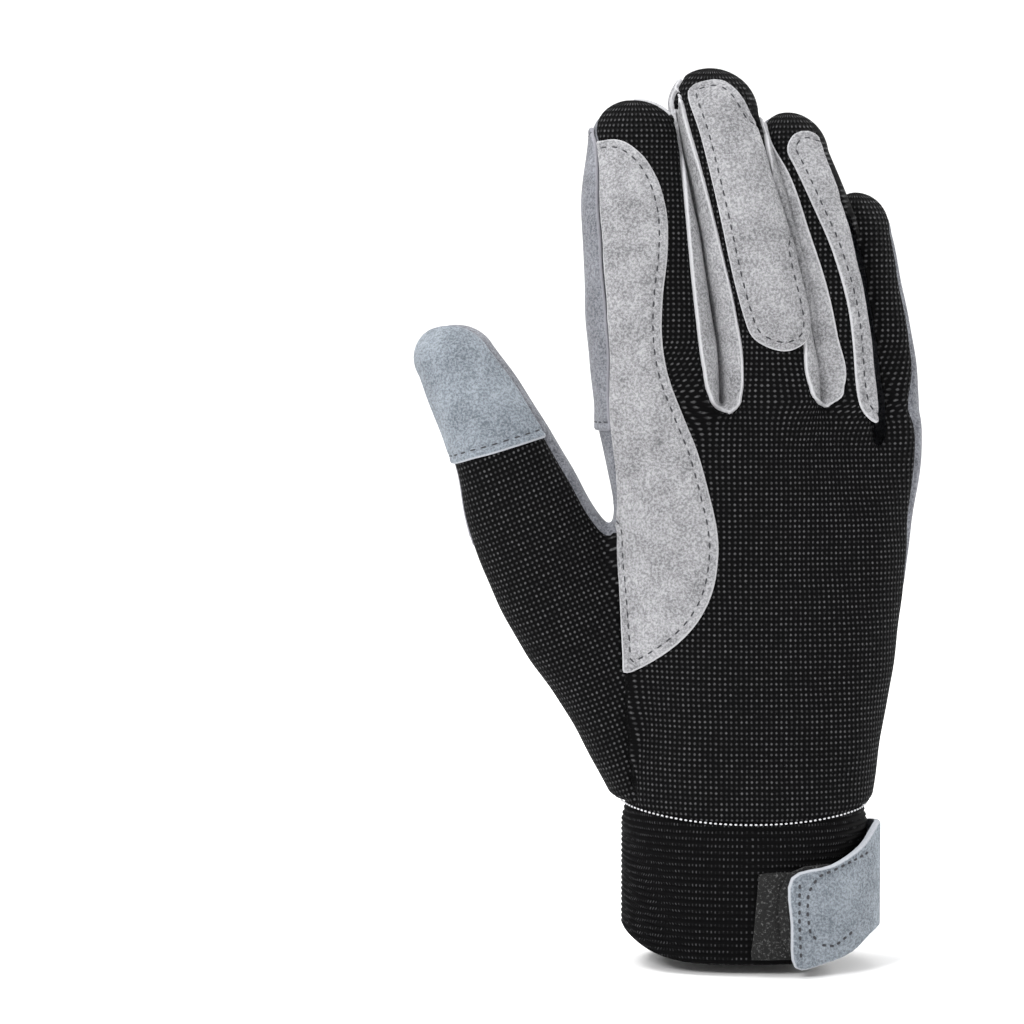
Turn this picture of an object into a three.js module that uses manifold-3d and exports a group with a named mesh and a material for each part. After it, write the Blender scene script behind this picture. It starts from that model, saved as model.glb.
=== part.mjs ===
// A mechanic glove for the right hand, standing with its fingers up as if it were worn.
// Millimetres. +Z runs from the wrist to the fingers, the back of the hand faces -Y and the
// thumb is on the -X side. The origin is the centre of the cuff's lower opening.
import * as THREE from "three";
import { mergeVertices } from "three/addons/utils/BufferGeometryUtils.js";
import Module from "manifold-3d";

const wasm = await Module();
wasm.setup();

// Driving sizes
const cuffHeight = 42;
const palmLength = 114;
const palmWidth = 92;
const palmDepth = 30;
const wristWidth = 71;
const wristDepth = 45;
const indexLength = 84;
const middleLength = 93;
const ringLength = 80.5;
const littleLength = 58.5;
const thumbReach = 50;
const thumbRise = 133;
const fingerWidth = 30;
const fingerDepth = 22;
const thumbWidth = 37;
const thumbDepth = 28;
const clothWall = 1.2;
const overlayThickness = 1.1;
const cuffWall = 2;
const strapThickness = 1.8;
const hookThickness = 1;
const strapLift = 2.4;
const gap = 0.3;
const fingerGap = 0.8;
const ribPitch = 4.2;
const ribDepth = 0.35;
const rimRise = 7;
const seamRise = 1.5;
const seamDip = 5.5;
const cuffTuck = 6;
const strapWrap = 7;
const foldDepth = 2.6;

// How finely the forms are faceted
const bodySides = 20;
const fingerSides = 10;
const cuffSides = 20;
const domeRings = 2;

// How far the blocks that cut the forms reach past them
const farAway = 90;
const pastEnd = 12;

// The grid of the seam's surface: left and right are shares of the palm's width
const seamGrid = { left: -1.2, right: 0.7, topLevel: 3.2, columns: 12, rows: 14 };

// The grid of the cuff's upper edge: half its width and depth as shares of the wrist's sizes
const cuffEdgeGrid = { width: 2, depth: 0.8, steps: 8 };

// The height of a level: 0 to 1 is the cuff, 1 to 2 the palm and 2 to 3 a finger
function heightAt(level, fingerLength) {
  const cuffPart = Math.min(level, 1) * cuffHeight;
  const palmPart = THREE.MathUtils.clamp(level - 1, 0, 1) * palmLength;
  const fingerPart = Math.max(level - 2, 0) * (fingerLength ?? middleLength);
  return cuffPart + palmPart + fingerPart;
}

// The value of a column at a height, straight between the rows of a table
function valueAt(rows, key, column, at) {
  const upper = rows.findIndex((row) => row[key] >= at);
  if (upper === 0) return rows[0][column];
  if (upper < 0) return rows[rows.length - 1][column];
  const low = rows[upper - 1];
  const high = rows[upper];
  return THREE.MathUtils.mapLinear(at, low[key], high[key], low[column], high[column]);
}

// Rows of numbers under named columns
function table(columns, rows) {
  const names = columns.split(" ");
  return rows.map((row) => Object.fromEntries(names.map((name, i) => [name, row[i]])));
}

// The hand from the cuff to the finger roots.
// left and right are shares of the palm's width, y, back and front shares of its depth.
const handRows = table("level left right y back front roll", [
  [0.88, -0.39, 0.383, 0.0, 0.76, 0.76, 0],
  [1.0, -0.388, 0.384, 0.0, 0.75, 0.76, 0],
  [1.12, -0.375, 0.402, 0.0, 0.7, 0.74, 1],
  [1.28, -0.37, 0.434, 0.0, 0.64, 0.7, 2],
  [1.42, -0.385, 0.461, 0.01, 0.6, 0.66, 3],
  [1.56, -0.395, 0.483, 0.02, 0.56, 0.6, 4],
  [1.68, -0.405, 0.502, 0.03, 0.53, 0.55, 5],
  [1.79, -0.425, 0.522, 0.04, 0.51, 0.51, 6],
  [1.89, -0.445, 0.53, 0.05, 0.48, 0.48, 7],
  [1.955, -0.45, 0.522, 0.05, 0.43, 0.43, 7],
  [2.0, -0.44, 0.5, 0.05, 0.34, 0.34, 7],
]);

// Fingers: x is a share of the palm's width, y of its depth, half widths and half depths of
// the finger's width and depth. The last row is where the round tip starts.
const fingerColumns = "level x y halfWidth halfDepth roll";
const fingers = {
  index: {
    length: indexLength,
    tip: { x: -0.35, y: 0.22 },
    rows: table(fingerColumns, [
      [1.72, -0.27, -0.1, 0.48, 0.5, 0],
      [1.95, -0.272, -0.14, 0.56, 0.54, 0],
      [2.1, -0.28, -0.16, 0.585, 0.53, -2],
      [2.27, -0.295, -0.16, 0.575, 0.51, -3],
      [2.42, -0.31, -0.14, 0.55, 0.5, -4],
      [2.58, -0.324, -0.08, 0.53, 0.49, -4],
      [2.74, -0.334, 0.02, 0.49, 0.47, -4],
      [2.86, -0.342, 0.12, 0.42, 0.43, -4],
    ]),
  },
  middle: {
    length: middleLength,
    tip: { x: -0.116, y: 0.34 },
    rows: table(fingerColumns, [
      [1.72, 0.05, -0.04, 0.46, 0.5, 0],
      [1.95, 0.062, -0.06, 0.5, 0.52, -6],
      [2.08, 0.06, -0.07, 0.52, 0.51, -8],
      [2.25, 0.03, -0.08, 0.52, 0.5, -10],
      [2.4, 0.002, -0.07, 0.51, 0.5, -10],
      [2.55, -0.03, -0.02, 0.49, 0.49, -10],
      [2.7, -0.066, 0.08, 0.45, 0.47, -8],
      [2.87, -0.104, 0.22, 0.415, 0.43, -6],
    ]),
  },
  ring: {
    length: ringLength,
    tip: { x: 0.126, y: 0.52 },
    rows: table(fingerColumns, [
      [1.72, 0.26, 0.08, 0.4, 0.5, 0],
      [1.95, 0.285, 0.1, 0.44, 0.5, -8],
      [2.1, 0.275, 0.1, 0.46, 0.49, -12],
      [2.27, 0.248, 0.11, 0.46, 0.48, -14],
      [2.43, 0.222, 0.13, 0.45, 0.47, -14],
      [2.6, 0.19, 0.19, 0.44, 0.46, -14],
      [2.76, 0.155, 0.29, 0.41, 0.44, -12],
      [2.87, 0.135, 0.39, 0.36, 0.4, -10],
    ]),
  },
  little: {
    length: littleLength,
    tip: { x: 0.34, y: 0.66 },
    rows: table(fingerColumns, [
      [1.66, 0.4, 0.16, 0.36, 0.46, 0],
      [1.88, 0.4, 0.24, 0.4, 0.46, -6],
      [2.05, 0.39, 0.27, 0.42, 0.45, -8],
      [2.22, 0.38, 0.28, 0.415, 0.44, -10],
      [2.42, 0.366, 0.31, 0.4, 0.43, -10],
      [2.62, 0.348, 0.38, 0.375, 0.42, -10],
      [2.8, 0.333, 0.48, 0.35, 0.39, -8],
    ]),
  },
};

// The thumb's centre line leans outwards: x is a share of its reach and z of its rise, from
// its root. lean is the angle of its sections, in degrees.
const thumbRoot = { x: -0.35, z: 1.02 };
const thumbTip = { x: -1.1, y: 0.5, z: 1.0 };
const thumbRows = table("x z y halfWidth halfDepth lean", [
  [0.12, -0.02, 0.12, 0.3, 0.5, 20],
  [-0.04, 0.15, 0.12, 0.34, 0.5, 23],
  [-0.18, 0.265, 0.13, 0.385, 0.5, 24],
  [-0.3, 0.365, 0.14, 0.45, 0.5, 24],
  [-0.45, 0.49, 0.16, 0.5, 0.5, 25],
  [-0.59, 0.605, 0.2, 0.47, 0.47, 26],
  [-0.735, 0.745, 0.26, 0.385, 0.43, 25],
  [-0.87, 0.85, 0.34, 0.34, 0.4, 24],
  [-0.99, 0.935, 0.42, 0.29, 0.36, 23],
]);

// The gaps between the fingers. back and front are where a gap's line crosses depths of
// -gapReach and +gapReach, as shares of the palm's width; low is where the gap ends.
const gapReach = 0.4;
const sheetReach = 40;
const fingerGaps = [
  {
    name: "index_middle",
    between: ["index", "middle"],
    low: 2.0,
    rows: table("level back front", [
      [1.6, -0.05, -0.13],
      [2.05, -0.075, -0.15],
      [2.28, -0.105, -0.165],
      [2.45, -0.13, -0.18],
      [2.7, -0.175, -0.205],
      [3.2, -0.26, -0.27],
    ]),
    panel: table("level left right", [
      [1.972, -0.066, -0.062],
      [1.985, -0.1, -0.042],
      [2.02, -0.125, -0.03],
      [2.1, -0.145, -0.026],
      [2.27, -0.168, -0.05],
      [2.45, -0.186, -0.092],
      [2.7, -0.204, -0.155],
      [2.86, -0.215, -0.195],
    ]),
  },
  {
    name: "middle_ring",
    between: ["middle", "ring"],
    low: 2.0,
    rows: table("level back front", [
      [1.6, 0.25, 0.13],
      [2.05, 0.235, 0.1],
      [2.28, 0.19, 0.07],
      [2.45, 0.15, 0.05],
      [2.7, 0.075, 0.0],
      [3.2, -0.02, -0.06],
    ]),
    panel: table("level left right", [
      [1.986, 0.228, 0.232],
      [2.0, 0.204, 0.262],
      [2.05, 0.176, 0.285],
      [2.2, 0.158, 0.262],
      [2.35, 0.132, 0.228],
      [2.5, 0.105, 0.18],
      [2.68, 0.066, 0.12],
      [2.8, 0.046, 0.07],
    ]),
  },
  {
    name: "ring_little",
    between: ["ring", "little"],
    low: 1.905,
    rows: table("level back front", [
      [1.6, 0.44, 0.3],
      [2.05, 0.43, 0.26],
      [2.28, 0.4, 0.235],
      [2.45, 0.37, 0.22],
      [2.7, 0.3, 0.2],
      [3.2, 0.2, 0.16],
    ]),
    panel: table("level left right", [
      [1.89, 0.392, 0.4],
      [1.91, 0.38, 0.415],
      [1.96, 0.37, 0.42],
      [2.1, 0.36, 0.43],
      [2.3, 0.33, 0.41],
      [2.55, 0.28, 0.36],
      [2.72, 0.24, 0.28],
    ]),
  },
];

// Where the side seams lie in depth, as shares of the palm's depth beside the middle of the
// little finger's side and of the index's side, from the cuff to the tip
const littleSeamRows = table("level offset", [
  [1.0, 0.1],
  [1.4, 0.02],
  [1.5, -0.04],
  [1.7, -0.16],
  [1.9, -0.22],
  [2.3, -0.16],
  [2.8, -0.04],
  [3.0, 0],
]);
const indexSeamRows = table("level offset", [
  [1.0, 0],
  [1.66, 0],
  [1.72, -0.2],
  [1.9, -0.28],
  [2.4, -0.28],
  [2.75, -0.2],
  [2.9, 0],
]);

// How far the seam passes over a fingertip onto the palm's side
const tipSeamShift = 0.1;

// Folds of the palm: a crease runs through each fold's points, x as a share of the palm's
// width and z as a level
const folds = [
  {
    depth: 1,
    width: 0.075,
    points: table("x level", [
      [0.04, 1.98],
      [0.12, 1.83],
      [0.19, 1.71],
      [0.27, 1.62],
    ]),
  },
  {
    depth: 0.6,
    width: 0.065,
    points: table("x level", [
      [0.22, 1.86],
      [0.3, 1.79],
      [0.38, 1.75],
    ]),
  },
  {
    depth: 0.5,
    width: 0.07,
    points: table("x level", [
      [-0.14, 1.05],
      [-0.2, 1.13],
      [-0.26, 1.2],
    ]),
  },
  {
    depth: 0.4,
    width: 0.05,
    points: table("x level", [
      [0.27, 1.03],
      [0.285, 1.12],
    ]),
  },
];

// Outlines of the layers sewn on the outside, seen from the back or the front of the hand
const outlineColumns = "x level";
const outlines = {
  indexOverlay: table(outlineColumns, [
    [-0.56, 2.92],
    [-0.476, 2.86],
    [-0.415, 2.862],
    [-0.375, 2.85],
    [-0.33, 2.81],
    [-0.3, 2.762],
    [-0.275, 2.7],
    [-0.256, 2.6],
    [-0.256, 2.48],
    [-0.269, 2.35],
    [-0.272, 2.22],
    [-0.254, 2.09],
    [-0.208, 1.965],
    [-0.162, 1.875],
    [-0.128, 1.777],
    [-0.104, 1.69],
    [-0.101, 1.615],
    [-0.122, 1.527],
    [-0.177, 1.448],
    [-0.27, 1.38],
    [-0.374, 1.335],
    [-0.386, 1.385],
    [-0.397, 1.6],
    [-0.41, 1.71],
    [-0.56, 1.72],
  ]),
  middleOverlay: table(outlineColumns, [
    [-0.15, 2.948],
    [-0.108, 2.956],
    [-0.07, 2.948],
    [-0.03, 2.91],
    [0.0, 2.85],
    [0.043, 2.75],
    [0.1, 2.54],
    [0.15, 2.34],
    [0.17, 2.24],
    [0.165, 2.185],
    [0.13, 2.157],
    [0.09, 2.15],
    [0.04, 2.165],
    [0.0, 2.195],
    [-0.024, 2.255],
    [-0.06, 2.39],
    [-0.105, 2.6],
    [-0.15, 2.79],
    [-0.185, 2.9],
    [-0.175, 2.935],
  ]),
  ringOverlay: table(outlineColumns, [
    [0.116, 2.865],
    [0.135, 2.915],
    [0.17, 2.92],
    [0.215, 2.87],
    [0.46, 2.8],
    [0.56, 2.4],
    [0.56, 2.02],
    [0.43, 1.95],
    [0.38, 1.945],
    [0.335, 1.98],
    [0.318, 2.06],
    [0.308, 2.2],
    [0.29, 2.34],
    [0.245, 2.52],
    [0.19, 2.67],
    [0.14, 2.8],
  ]),
  thumbCap: table(outlineColumns, [
    [-0.97, 1.93],
    [-0.9, 1.862],
    [-0.84, 1.855],
    [-0.72, 1.88],
    [-0.58, 1.91],
    [-0.62, 2.6],
    [-1.2, 2.6],
    [-1.2, 1.93],
  ]),
  palmPad: table(outlineColumns, [
    [-0.41, 1.92],
    [-0.3, 1.93],
    [-0.07, 1.92],
    [0.0, 1.905],
    [0.07, 1.855],
    [0.125, 1.79],
    [0.16, 1.71],
    [0.173, 1.58],
    [0.168, 1.46],
    [0.125, 1.36],
    [0.062, 1.285],
    [-0.02, 1.245],
    [-0.12, 1.225],
    [-0.2, 1.225],
    [-0.3, 1.255],
    [-0.4, 1.3],
    [-0.5, 1.35],
    [-0.6, 1.42],
    [-0.64, 1.49],
    [-0.6, 1.53],
    [-0.55, 1.545],
    [-0.49, 1.56],
    [-0.42, 1.6],
    [-0.39, 1.7],
    [-0.41, 1.8],
  ]),
  indexPad: table(outlineColumns, [
    [-0.23, 2.08],
    [-0.222, 2.3],
    [-0.222, 2.6],
    [-0.235, 2.8],
    [-0.29, 2.87],
    [-0.36, 2.86],
    [-0.56, 2.84],
    [-0.56, 1.97],
    [-0.28, 1.975],
    [-0.245, 2.01],
  ]),
  thumbPad: table(outlineColumns, [
    [-0.8, 1.99],
    [-0.86, 2.02],
    [-0.93, 2.02],
    [-0.985, 1.975],
    [-0.985, 1.88],
    [-0.93, 1.78],
    [-0.85, 1.66],
    [-0.76, 1.56],
    [-0.68, 1.53],
    [-0.62, 1.6],
    [-0.66, 1.74],
    [-0.74, 1.88],
  ]),
  loopPatch: table(outlineColumns, [
    [0.024, 0.61],
    [0.02, 0.56],
    [0.006, 0.2],
    [0.0, 0.06],
    [0.03, 0.04],
    [0.2, 0.05],
    [0.24, 0.1],
    [0.24, 0.56],
    [0.2, 0.61],
    [0.1, 0.62],
  ]),
  hookPatch: table(outlineColumns, [
    [0.108, 0.62],
    [0.108, 0.1],
    [0.32, 0.12],
    [0.35, 0.6],
  ]),
  strap: table(outlineColumns, [
    [0.116, 0.595],
    [0.116, 0.28],
    [0.128, 0.0],
    [0.22, 0.02],
    [0.3, 0.08],
    [0.38, 0.2],
    [0.56, 0.3],
    [0.56, 0.98],
    [0.4, 0.93],
    [0.33, 0.78],
    [0.24, 0.67],
  ]),
};

// Seam between the thumb's back and the back of the hand, from the cuff up and past the crotch
const thumbSeam = table(outlineColumns, [
  [-0.345, 0.9],
  [-0.347, 1.03],
  [-0.36, 1.11],
  [-0.373, 1.26],
  [-0.376, 1.33],
  [-0.393, 1.5],
  [-0.402, 1.66],
  [-0.43, 1.7],
  [-0.464, 1.745],
  [-0.51, 1.86],
  [-0.58, 2.0],
  [-0.7, 2.6],
]);

// Turns a closed geometry into a solid, with points closer than a distance made one
const mergeDistance = 2e-3;
function solid(geometry, distance = mergeDistance / 20) {
  const bare = geometry.index ? geometry.toNonIndexed() : geometry.clone();
  bare.deleteAttribute("normal");
  bare.deleteAttribute("uv");
  const merged = mergeVertices(bare, distance);
  return new wasm.Manifold(
    new wasm.Mesh({
      numProp: 3,
      vertProperties: new Float32Array(merged.attributes.position.array),
      triVerts: new Uint32Array(merged.index.array),
    }),
  );
}

// A closed skin through rings of points. Each end is closed by a fan round its own point.
function skin(rings, firstPoint, lastPoint) {
  const corners = [];
  const count = rings[0].length;
  const triangle = (a, b, c) => corners.push(...a.toArray(), ...b.toArray(), ...c.toArray());
  for (let r = 0; r + 1 < rings.length; r++) {
    for (let i = 0; i < count; i++) {
      const next = (i + 1) % count;
      triangle(rings[r][i], rings[r][next], rings[r + 1][next]);
      triangle(rings[r][i], rings[r + 1][next], rings[r + 1][i]);
    }
  }
  const last = rings[rings.length - 1];
  for (let i = 0; i < count; i++) {
    const next = (i + 1) % count;
    triangle(rings[0][next], rings[0][i], firstPoint);
    triangle(last[i], last[next], lastPoint);
  }
  const geometry = new THREE.BufferGeometry();
  geometry.setAttribute("position", new THREE.Float32BufferAttribute(corners, 3));
  return solid(geometry);
}

function middleOf(ring) {
  const sum = new THREE.Vector3();
  ring.forEach((point) => sum.add(point));
  return sum.divideScalar(ring.length);
}

// A skin whose ends are flat
function flatEnded(rings) {
  return skin(rings, middleOf(rings[0]), middleOf(rings[rings.length - 1]));
}

function union(solids) {
  return solids.reduce((all, one) => all.add(one));
}

// One point of a rounded section. across and through are its half sizes, and a bigger
// squareness gives fuller corners.
const squareness = 2.25;
function sectionPoint(section, angle, scale = 1) {
  const bend = 2 / squareness;
  const cos = Math.cos(angle);
  const sin = Math.sin(angle);
  const across = section.across * Math.sign(cos) * Math.abs(cos) ** bend;
  const half = sin > 0 ? section.back : section.front;
  const through = half * Math.sign(sin) * Math.abs(sin) ** bend;
  const roll = THREE.MathUtils.degToRad(section.roll ?? 0);
  const lean = THREE.MathUtils.degToRad(section.lean ?? 0);
  const u = across * Math.cos(roll) + through * Math.sin(roll);
  const v = across * Math.sin(roll) - through * Math.cos(roll);
  return new THREE.Vector3(
    section.x + scale * u * Math.cos(lean),
    section.y + scale * v,
    section.z + scale * u * Math.sin(lean),
  );
}

function sectionRing(section, sides, scale) {
  return Array.from({ length: sides }, (_, i) =>
    sectionPoint(section, (-2 * Math.PI * i) / sides, scale),
  );
}

// How far the folds push a point of the palm inwards
function foldAt(x, z) {
  let push = 0;
  for (const fold of folds) {
    const path = fold.points.map(
      (point) => new THREE.Vector2(point.x * palmWidth, heightAt(point.level)),
    );
    const width = fold.width * palmWidth;
    const here = new THREE.Vector2(x, z);
    let nearest = Infinity;
    for (let i = 0; i + 1 < path.length; i++) {
      const along = path[i + 1].clone().sub(path[i]);
      const share = THREE.MathUtils.clamp(
        here.clone().sub(path[i]).dot(along) / along.lengthSq(),
        0,
        1,
      );
      nearest = Math.min(nearest, here.distanceTo(path[i].clone().addScaledVector(along, share)));
    }
    push = Math.max(push, fold.depth * foldDepth * Math.exp(-((nearest / width) ** 2)));
  }
  return push;
}

function handSection(row, grow) {
  const left = row.left * palmWidth;
  const right = row.right * palmWidth;
  return {
    x: (left + right) / 2,
    y: row.y * palmDepth,
    z: heightAt(row.level),
    across: (right - left) / 2 + grow,
    back: row.back * palmDepth + grow,
    front: row.front * palmDepth + grow,
    roll: row.roll,
  };
}

// The hand without fingers and thumb, its surfaces moved outwards by grow
function handForm(grow) {
  const rings = handRows.map((row, i) => {
    const section = handSection(row, grow);
    if (i === handRows.length - 1) section.z += grow;
    const ring = sectionRing(section, bodySides);
    ring.forEach((point) => {
      if (point.y > section.y) point.y -= foldAt(point.x, point.z);
    });
    return ring;
  });
  if (grow < 0) rings[0].forEach((point) => (point.z -= cuffHeight));
  return flatEnded(rings);
}

function fingerSection(finger, row, grow) {
  return {
    x: row.x * palmWidth,
    y: row.y * palmDepth,
    z: heightAt(row.level, finger.length),
    across: row.halfWidth * fingerWidth + grow,
    back: row.halfDepth * fingerDepth + grow,
    front: row.halfDepth * fingerDepth + grow,
    roll: row.roll,
  };
}

// Rings that round off a tube from its last section to the point of its tip
function roundTip(section, tip, sides, grow) {
  const start = new THREE.Vector3(section.x, section.y, section.z);
  const rise = tip.clone().sub(start);
  const end = tip.clone().addScaledVector(rise.clone().normalize(), grow);
  const reach = end.clone().sub(start);
  const rings = [];
  for (let i = 1; i <= domeRings; i++) {
    const angle = (i / (domeRings + 1)) * (Math.PI / 2);
    const place = start.clone().addScaledVector(reach, Math.sin(angle));
    const ring = { ...section, x: place.x, y: place.y, z: place.z };
    rings.push(sectionRing(ring, sides, Math.cos(angle)));
  }
  return { rings, end };
}

function tubeForm(sections, tip, grow) {
  const rings = sections.map((section) => sectionRing(section, fingerSides));
  const round = roundTip(sections[sections.length - 1], tip, fingerSides, grow);
  const all = [...rings, ...round.rings];
  return skin(all, middleOf(rings[0]), round.end);
}

function fingerForm(finger, grow) {
  const sections = finger.rows.map((row) => fingerSection(finger, row, grow));
  const tip = new THREE.Vector3(
    finger.tip.x * palmWidth,
    finger.tip.y * palmDepth,
    heightAt(3, finger.length),
  );
  return tubeForm(sections, tip, grow);
}

function thumbPlace(row) {
  return new THREE.Vector3(
    thumbRoot.x * palmWidth + row.x * thumbReach,
    row.y * palmDepth,
    thumbRoot.z * cuffHeight + row.z * thumbRise,
  );
}

function thumbForm(grow) {
  const sections = thumbRows.map((row) => {
    const place = thumbPlace(row);
    return {
      x: place.x,
      y: place.y,
      z: place.z,
      across: row.halfWidth * thumbWidth + grow,
      back: row.halfDepth * thumbDepth + grow,
      front: row.halfDepth * thumbDepth + grow,
      lean: row.lean,
    };
  });
  return tubeForm(sections, thumbPlace(thumbTip), grow);
}

// The x of a finger gap's middle line at a height and depth
function gapLine(fingerGap, z, y) {
  const level = levelOf(z);
  const back = valueAt(fingerGap.rows, "level", "back", level) * palmWidth;
  const front = valueAt(fingerGap.rows, "level", "front", level) * palmWidth;
  const reach = gapReach * palmDepth;
  return THREE.MathUtils.mapLinear(y, -reach, reach, back, front);
}

// The level of a height, by the middle finger's length
function levelOf(z) {
  if (z < cuffHeight) return z / cuffHeight;
  if (z < cuffHeight + palmLength) return 1 + (z - cuffHeight) / palmLength;
  return 2 + (z - cuffHeight - palmLength) / middleLength;
}

// A block of all that lies right of a finger gap's line moved by an offset, from a height up.
// With no line it is everything from that height up.
function rightBlock(line, offset, low) {
  const top = heightAt(3.4);
  const levels = fingerGaps[0].rows.map((row) => row.level);
  const heights = levels.map((level) => heightAt(level)).filter((z) => z > low + fingerGap);
  const rings = [low, ...heights, top].map((z) => {
    const front = line ? gapLine(line, z, sheetReach) + offset : -2 * palmWidth;
    const back = line ? gapLine(line, z, -sheetReach) + offset : -2 * palmWidth;
    return [
      new THREE.Vector3(back, -sheetReach, z),
      new THREE.Vector3(2 * palmWidth, -sheetReach, z),
      new THREE.Vector3(2 * palmWidth, sheetReach, z),
      new THREE.Vector3(front, sheetReach, z),
    ];
  });
  return flatEnded(rings);
}

// The whole glove above the cuff as one closed form, its surfaces moved outwards by grow
function gloveForm(grow) {
  const half = Math.max(fingerGap / 2 - grow, gap / 2);
  let form = handForm(grow).add(thumbForm(grow));
  const tubes = {};
  for (const [name, finger] of Object.entries(fingers)) tubes[name] = fingerForm(finger, grow);
  for (const line of fingerGaps) {
    const low = heightAt(line.low) + Math.min(grow, 0);
    const fromLeftFace = rightBlock(line, -half, low);
    const fromRightFace = rightBlock(line, half, low);
    const toRightFace = rightBlock(undefined, 0, low).subtract(fromRightFace);
    const [left, right] = line.between;
    form = form.subtract(fromLeftFace.subtract(fromRightFace));
    tubes[left] = tubes[left].subtract(fromLeftFace);
    tubes[right] = tubes[right].subtract(toRightFace);
  }
  return union([form, ...Object.values(tubes)]);
}

const outer = gloveForm(0);
const inner = gloveForm(-clothWall);
const shell = outer.subtract(inner);

// The glove without the gaps between its fingers, which the sewn-on layers lie against
function wholeForm(grow) {
  const tubes = Object.values(fingers).map((finger) => fingerForm(finger, grow));
  return union([handForm(grow), thumbForm(grow), ...tubes]);
}

const overlaySkin = wholeForm(gap + overlayThickness).subtract(wholeForm(gap));

// Depth of the seam between the back and the palm at a place seen from the front
function seamDepth(x, z) {
  const level = levelOf(z);
  const split = valueAt(thumbSeam, "level", "x", level) * palmWidth;
  if (x < split) return thumbSeamDepth(x, z);
  const littleEdge = THREE.MathUtils.smoothstep(x, 0.3 * palmWidth, 0.42 * palmWidth);
  const indexEdge = THREE.MathUtils.smoothstep(-x, 0.35 * palmWidth, 0.44 * palmWidth);
  const littleOffset = valueAt(littleSeamRows, "level", "offset", level) * littleEdge;
  const indexOffset = valueAt(indexSeamRows, "level", "offset", level) * indexEdge;
  const offset = (littleOffset + indexOffset) * palmDepth;
  const row = Object.fromEntries(
    ["left", "right", "y", "roll"].map((column) => [
      column,
      valueAt(handRows, "level", column, level),
    ]),
  );
  const middle = ((row.left + row.right) / 2) * palmWidth;
  const slope = Math.tan(THREE.MathUtils.degToRad(row.roll));
  const handDepth = row.y * palmDepth + slope * (x - middle);
  if (level < 2) return handDepth + offset;
  const anchors = Object.values(fingers).map((finger) => {
    const at = 2 + (z - heightAt(2)) / finger.length;
    const tip = { level: 3, x: finger.tip.x, y: finger.tip.y + tipSeamShift };
    return {
      x: valueAt([...finger.rows, tip], "level", "x", at) * palmWidth,
      y: valueAt([...finger.rows, tip], "level", "y", at) * palmDepth,
    };
  });
  const blend = THREE.MathUtils.smoothstep(level, 2, 2.15);
  const fingerDepthHere = valueAt(anchors, "x", "y", x);
  return THREE.MathUtils.lerp(handDepth, fingerDepthHere, blend) + offset;
}

// On the thumb the seam runs nearer the palm outside and nearer the back beside the index
const thumbSeamShift = { outside: 0.12, inside: -0.26 };
function thumbSeamDepth(x, z) {
  const rise = (z - thumbRoot.z * cuffHeight) / thumbRise;
  const middle = thumbRoot.x * palmWidth + valueAt(thumbRows, "z", "x", rise) * thumbReach;
  const depth = valueAt(thumbRows, "z", "y", rise) * palmDepth;
  const half = valueAt(thumbRows, "z", "halfWidth", rise) * thumbWidth;
  const across = THREE.MathUtils.clamp((x - middle) / half, -1, 1);
  const { outside, inside } = thumbSeamShift;
  return depth + palmDepth * THREE.MathUtils.mapLinear(across, -1, 1, outside, inside);
}

// A block of all that lies on the back's side of the seam, moved towards the palm by shift
function seamBlock(shift) {
  const { columns, rows } = seamGrid;
  const left = seamGrid.left * palmWidth;
  const right = seamGrid.right * palmWidth;
  const top = heightAt(seamGrid.topLevel);
  const bottom = -pastEnd;
  const rings = [];
  for (let r = 0; r <= rows; r++) {
    const z = THREE.MathUtils.lerp(bottom, top, r / rows);
    const near = [];
    for (let c = columns; c >= 0; c--) {
      const x = THREE.MathUtils.lerp(left, right, c / columns);
      near.push(new THREE.Vector3(x, seamDepth(x, z) + shift, z));
    }
    const far = near.map((point) => new THREE.Vector3(point.x, -farAway, point.z)).reverse();
    rings.push([...far, ...near]);
  }
  return flatEnded(rings);
}

// A block with an outline seen from the front, all the way through
function throughBlock(rows, fingerLength) {
  const corners = rows.map(
    (row) => new THREE.Vector2(row.x * palmWidth, heightAt(row.level, fingerLength)),
  );
  const shape = new THREE.Shape(corners);
  const block = new THREE.ExtrudeGeometry(shape, { depth: 2 * farAway, bevelEnabled: false });
  block.rotateX(Math.PI / 2);
  block.translate(0, farAway, 0);
  return solid(block);
}

// The cuff's upper edge: level at the front, dipping towards the wrist on the back
function cuffTop(x, y) {
  const across = THREE.MathUtils.clamp((2 * x) / wristWidth, -1, 1);
  const back = THREE.MathUtils.smoothstep(-y, 0, wristDepth / 4);
  return cuffHeight + seamRise - seamDip * back * (1 - across * across);
}

// A block of all that lies below the cuff's upper edge, moved up by shift
function cuffTopBlock(shift) {
  const { steps, width, depth } = cuffEdgeGrid;
  const rings = [];
  for (let r = 0; r <= steps; r++) {
    const y = THREE.MathUtils.lerp(-depth, depth, r / steps) * wristDepth;
    const line = [];
    for (let c = 0; c <= steps; c++) {
      const x = THREE.MathUtils.lerp(-width, width, c / steps) * wristWidth;
      line.push(new THREE.Vector3(x, y, cuffTop(x, y) + shift));
    }
    const far = line.map((point) => new THREE.Vector3(point.x, y, -farAway));
    rings.push([...line, ...far.reverse()]);
  }
  return flatEnded(rings);
}

// A ring round the cuff at a height. outward gives its distance from the cuff's face at an
// angle, and the lower rim rises towards both sides.
function cuffRing(z, outward) {
  return Array.from({ length: cuffSides }, (_, i) => {
    const angle = (-2 * Math.PI * i) / cuffSides;
    const away = outward(angle);
    const section = {
      x: 0,
      y: 0,
      z,
      across: wristWidth / 2 + away,
      back: wristDepth / 2 + away,
      front: wristDepth / 2 + away,
    };
    const point = sectionPoint(section, angle);
    point.z += rimRise * Math.cos(angle) ** 4 * (1 - z / cuffHeight);
    return point;
  });
}

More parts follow.
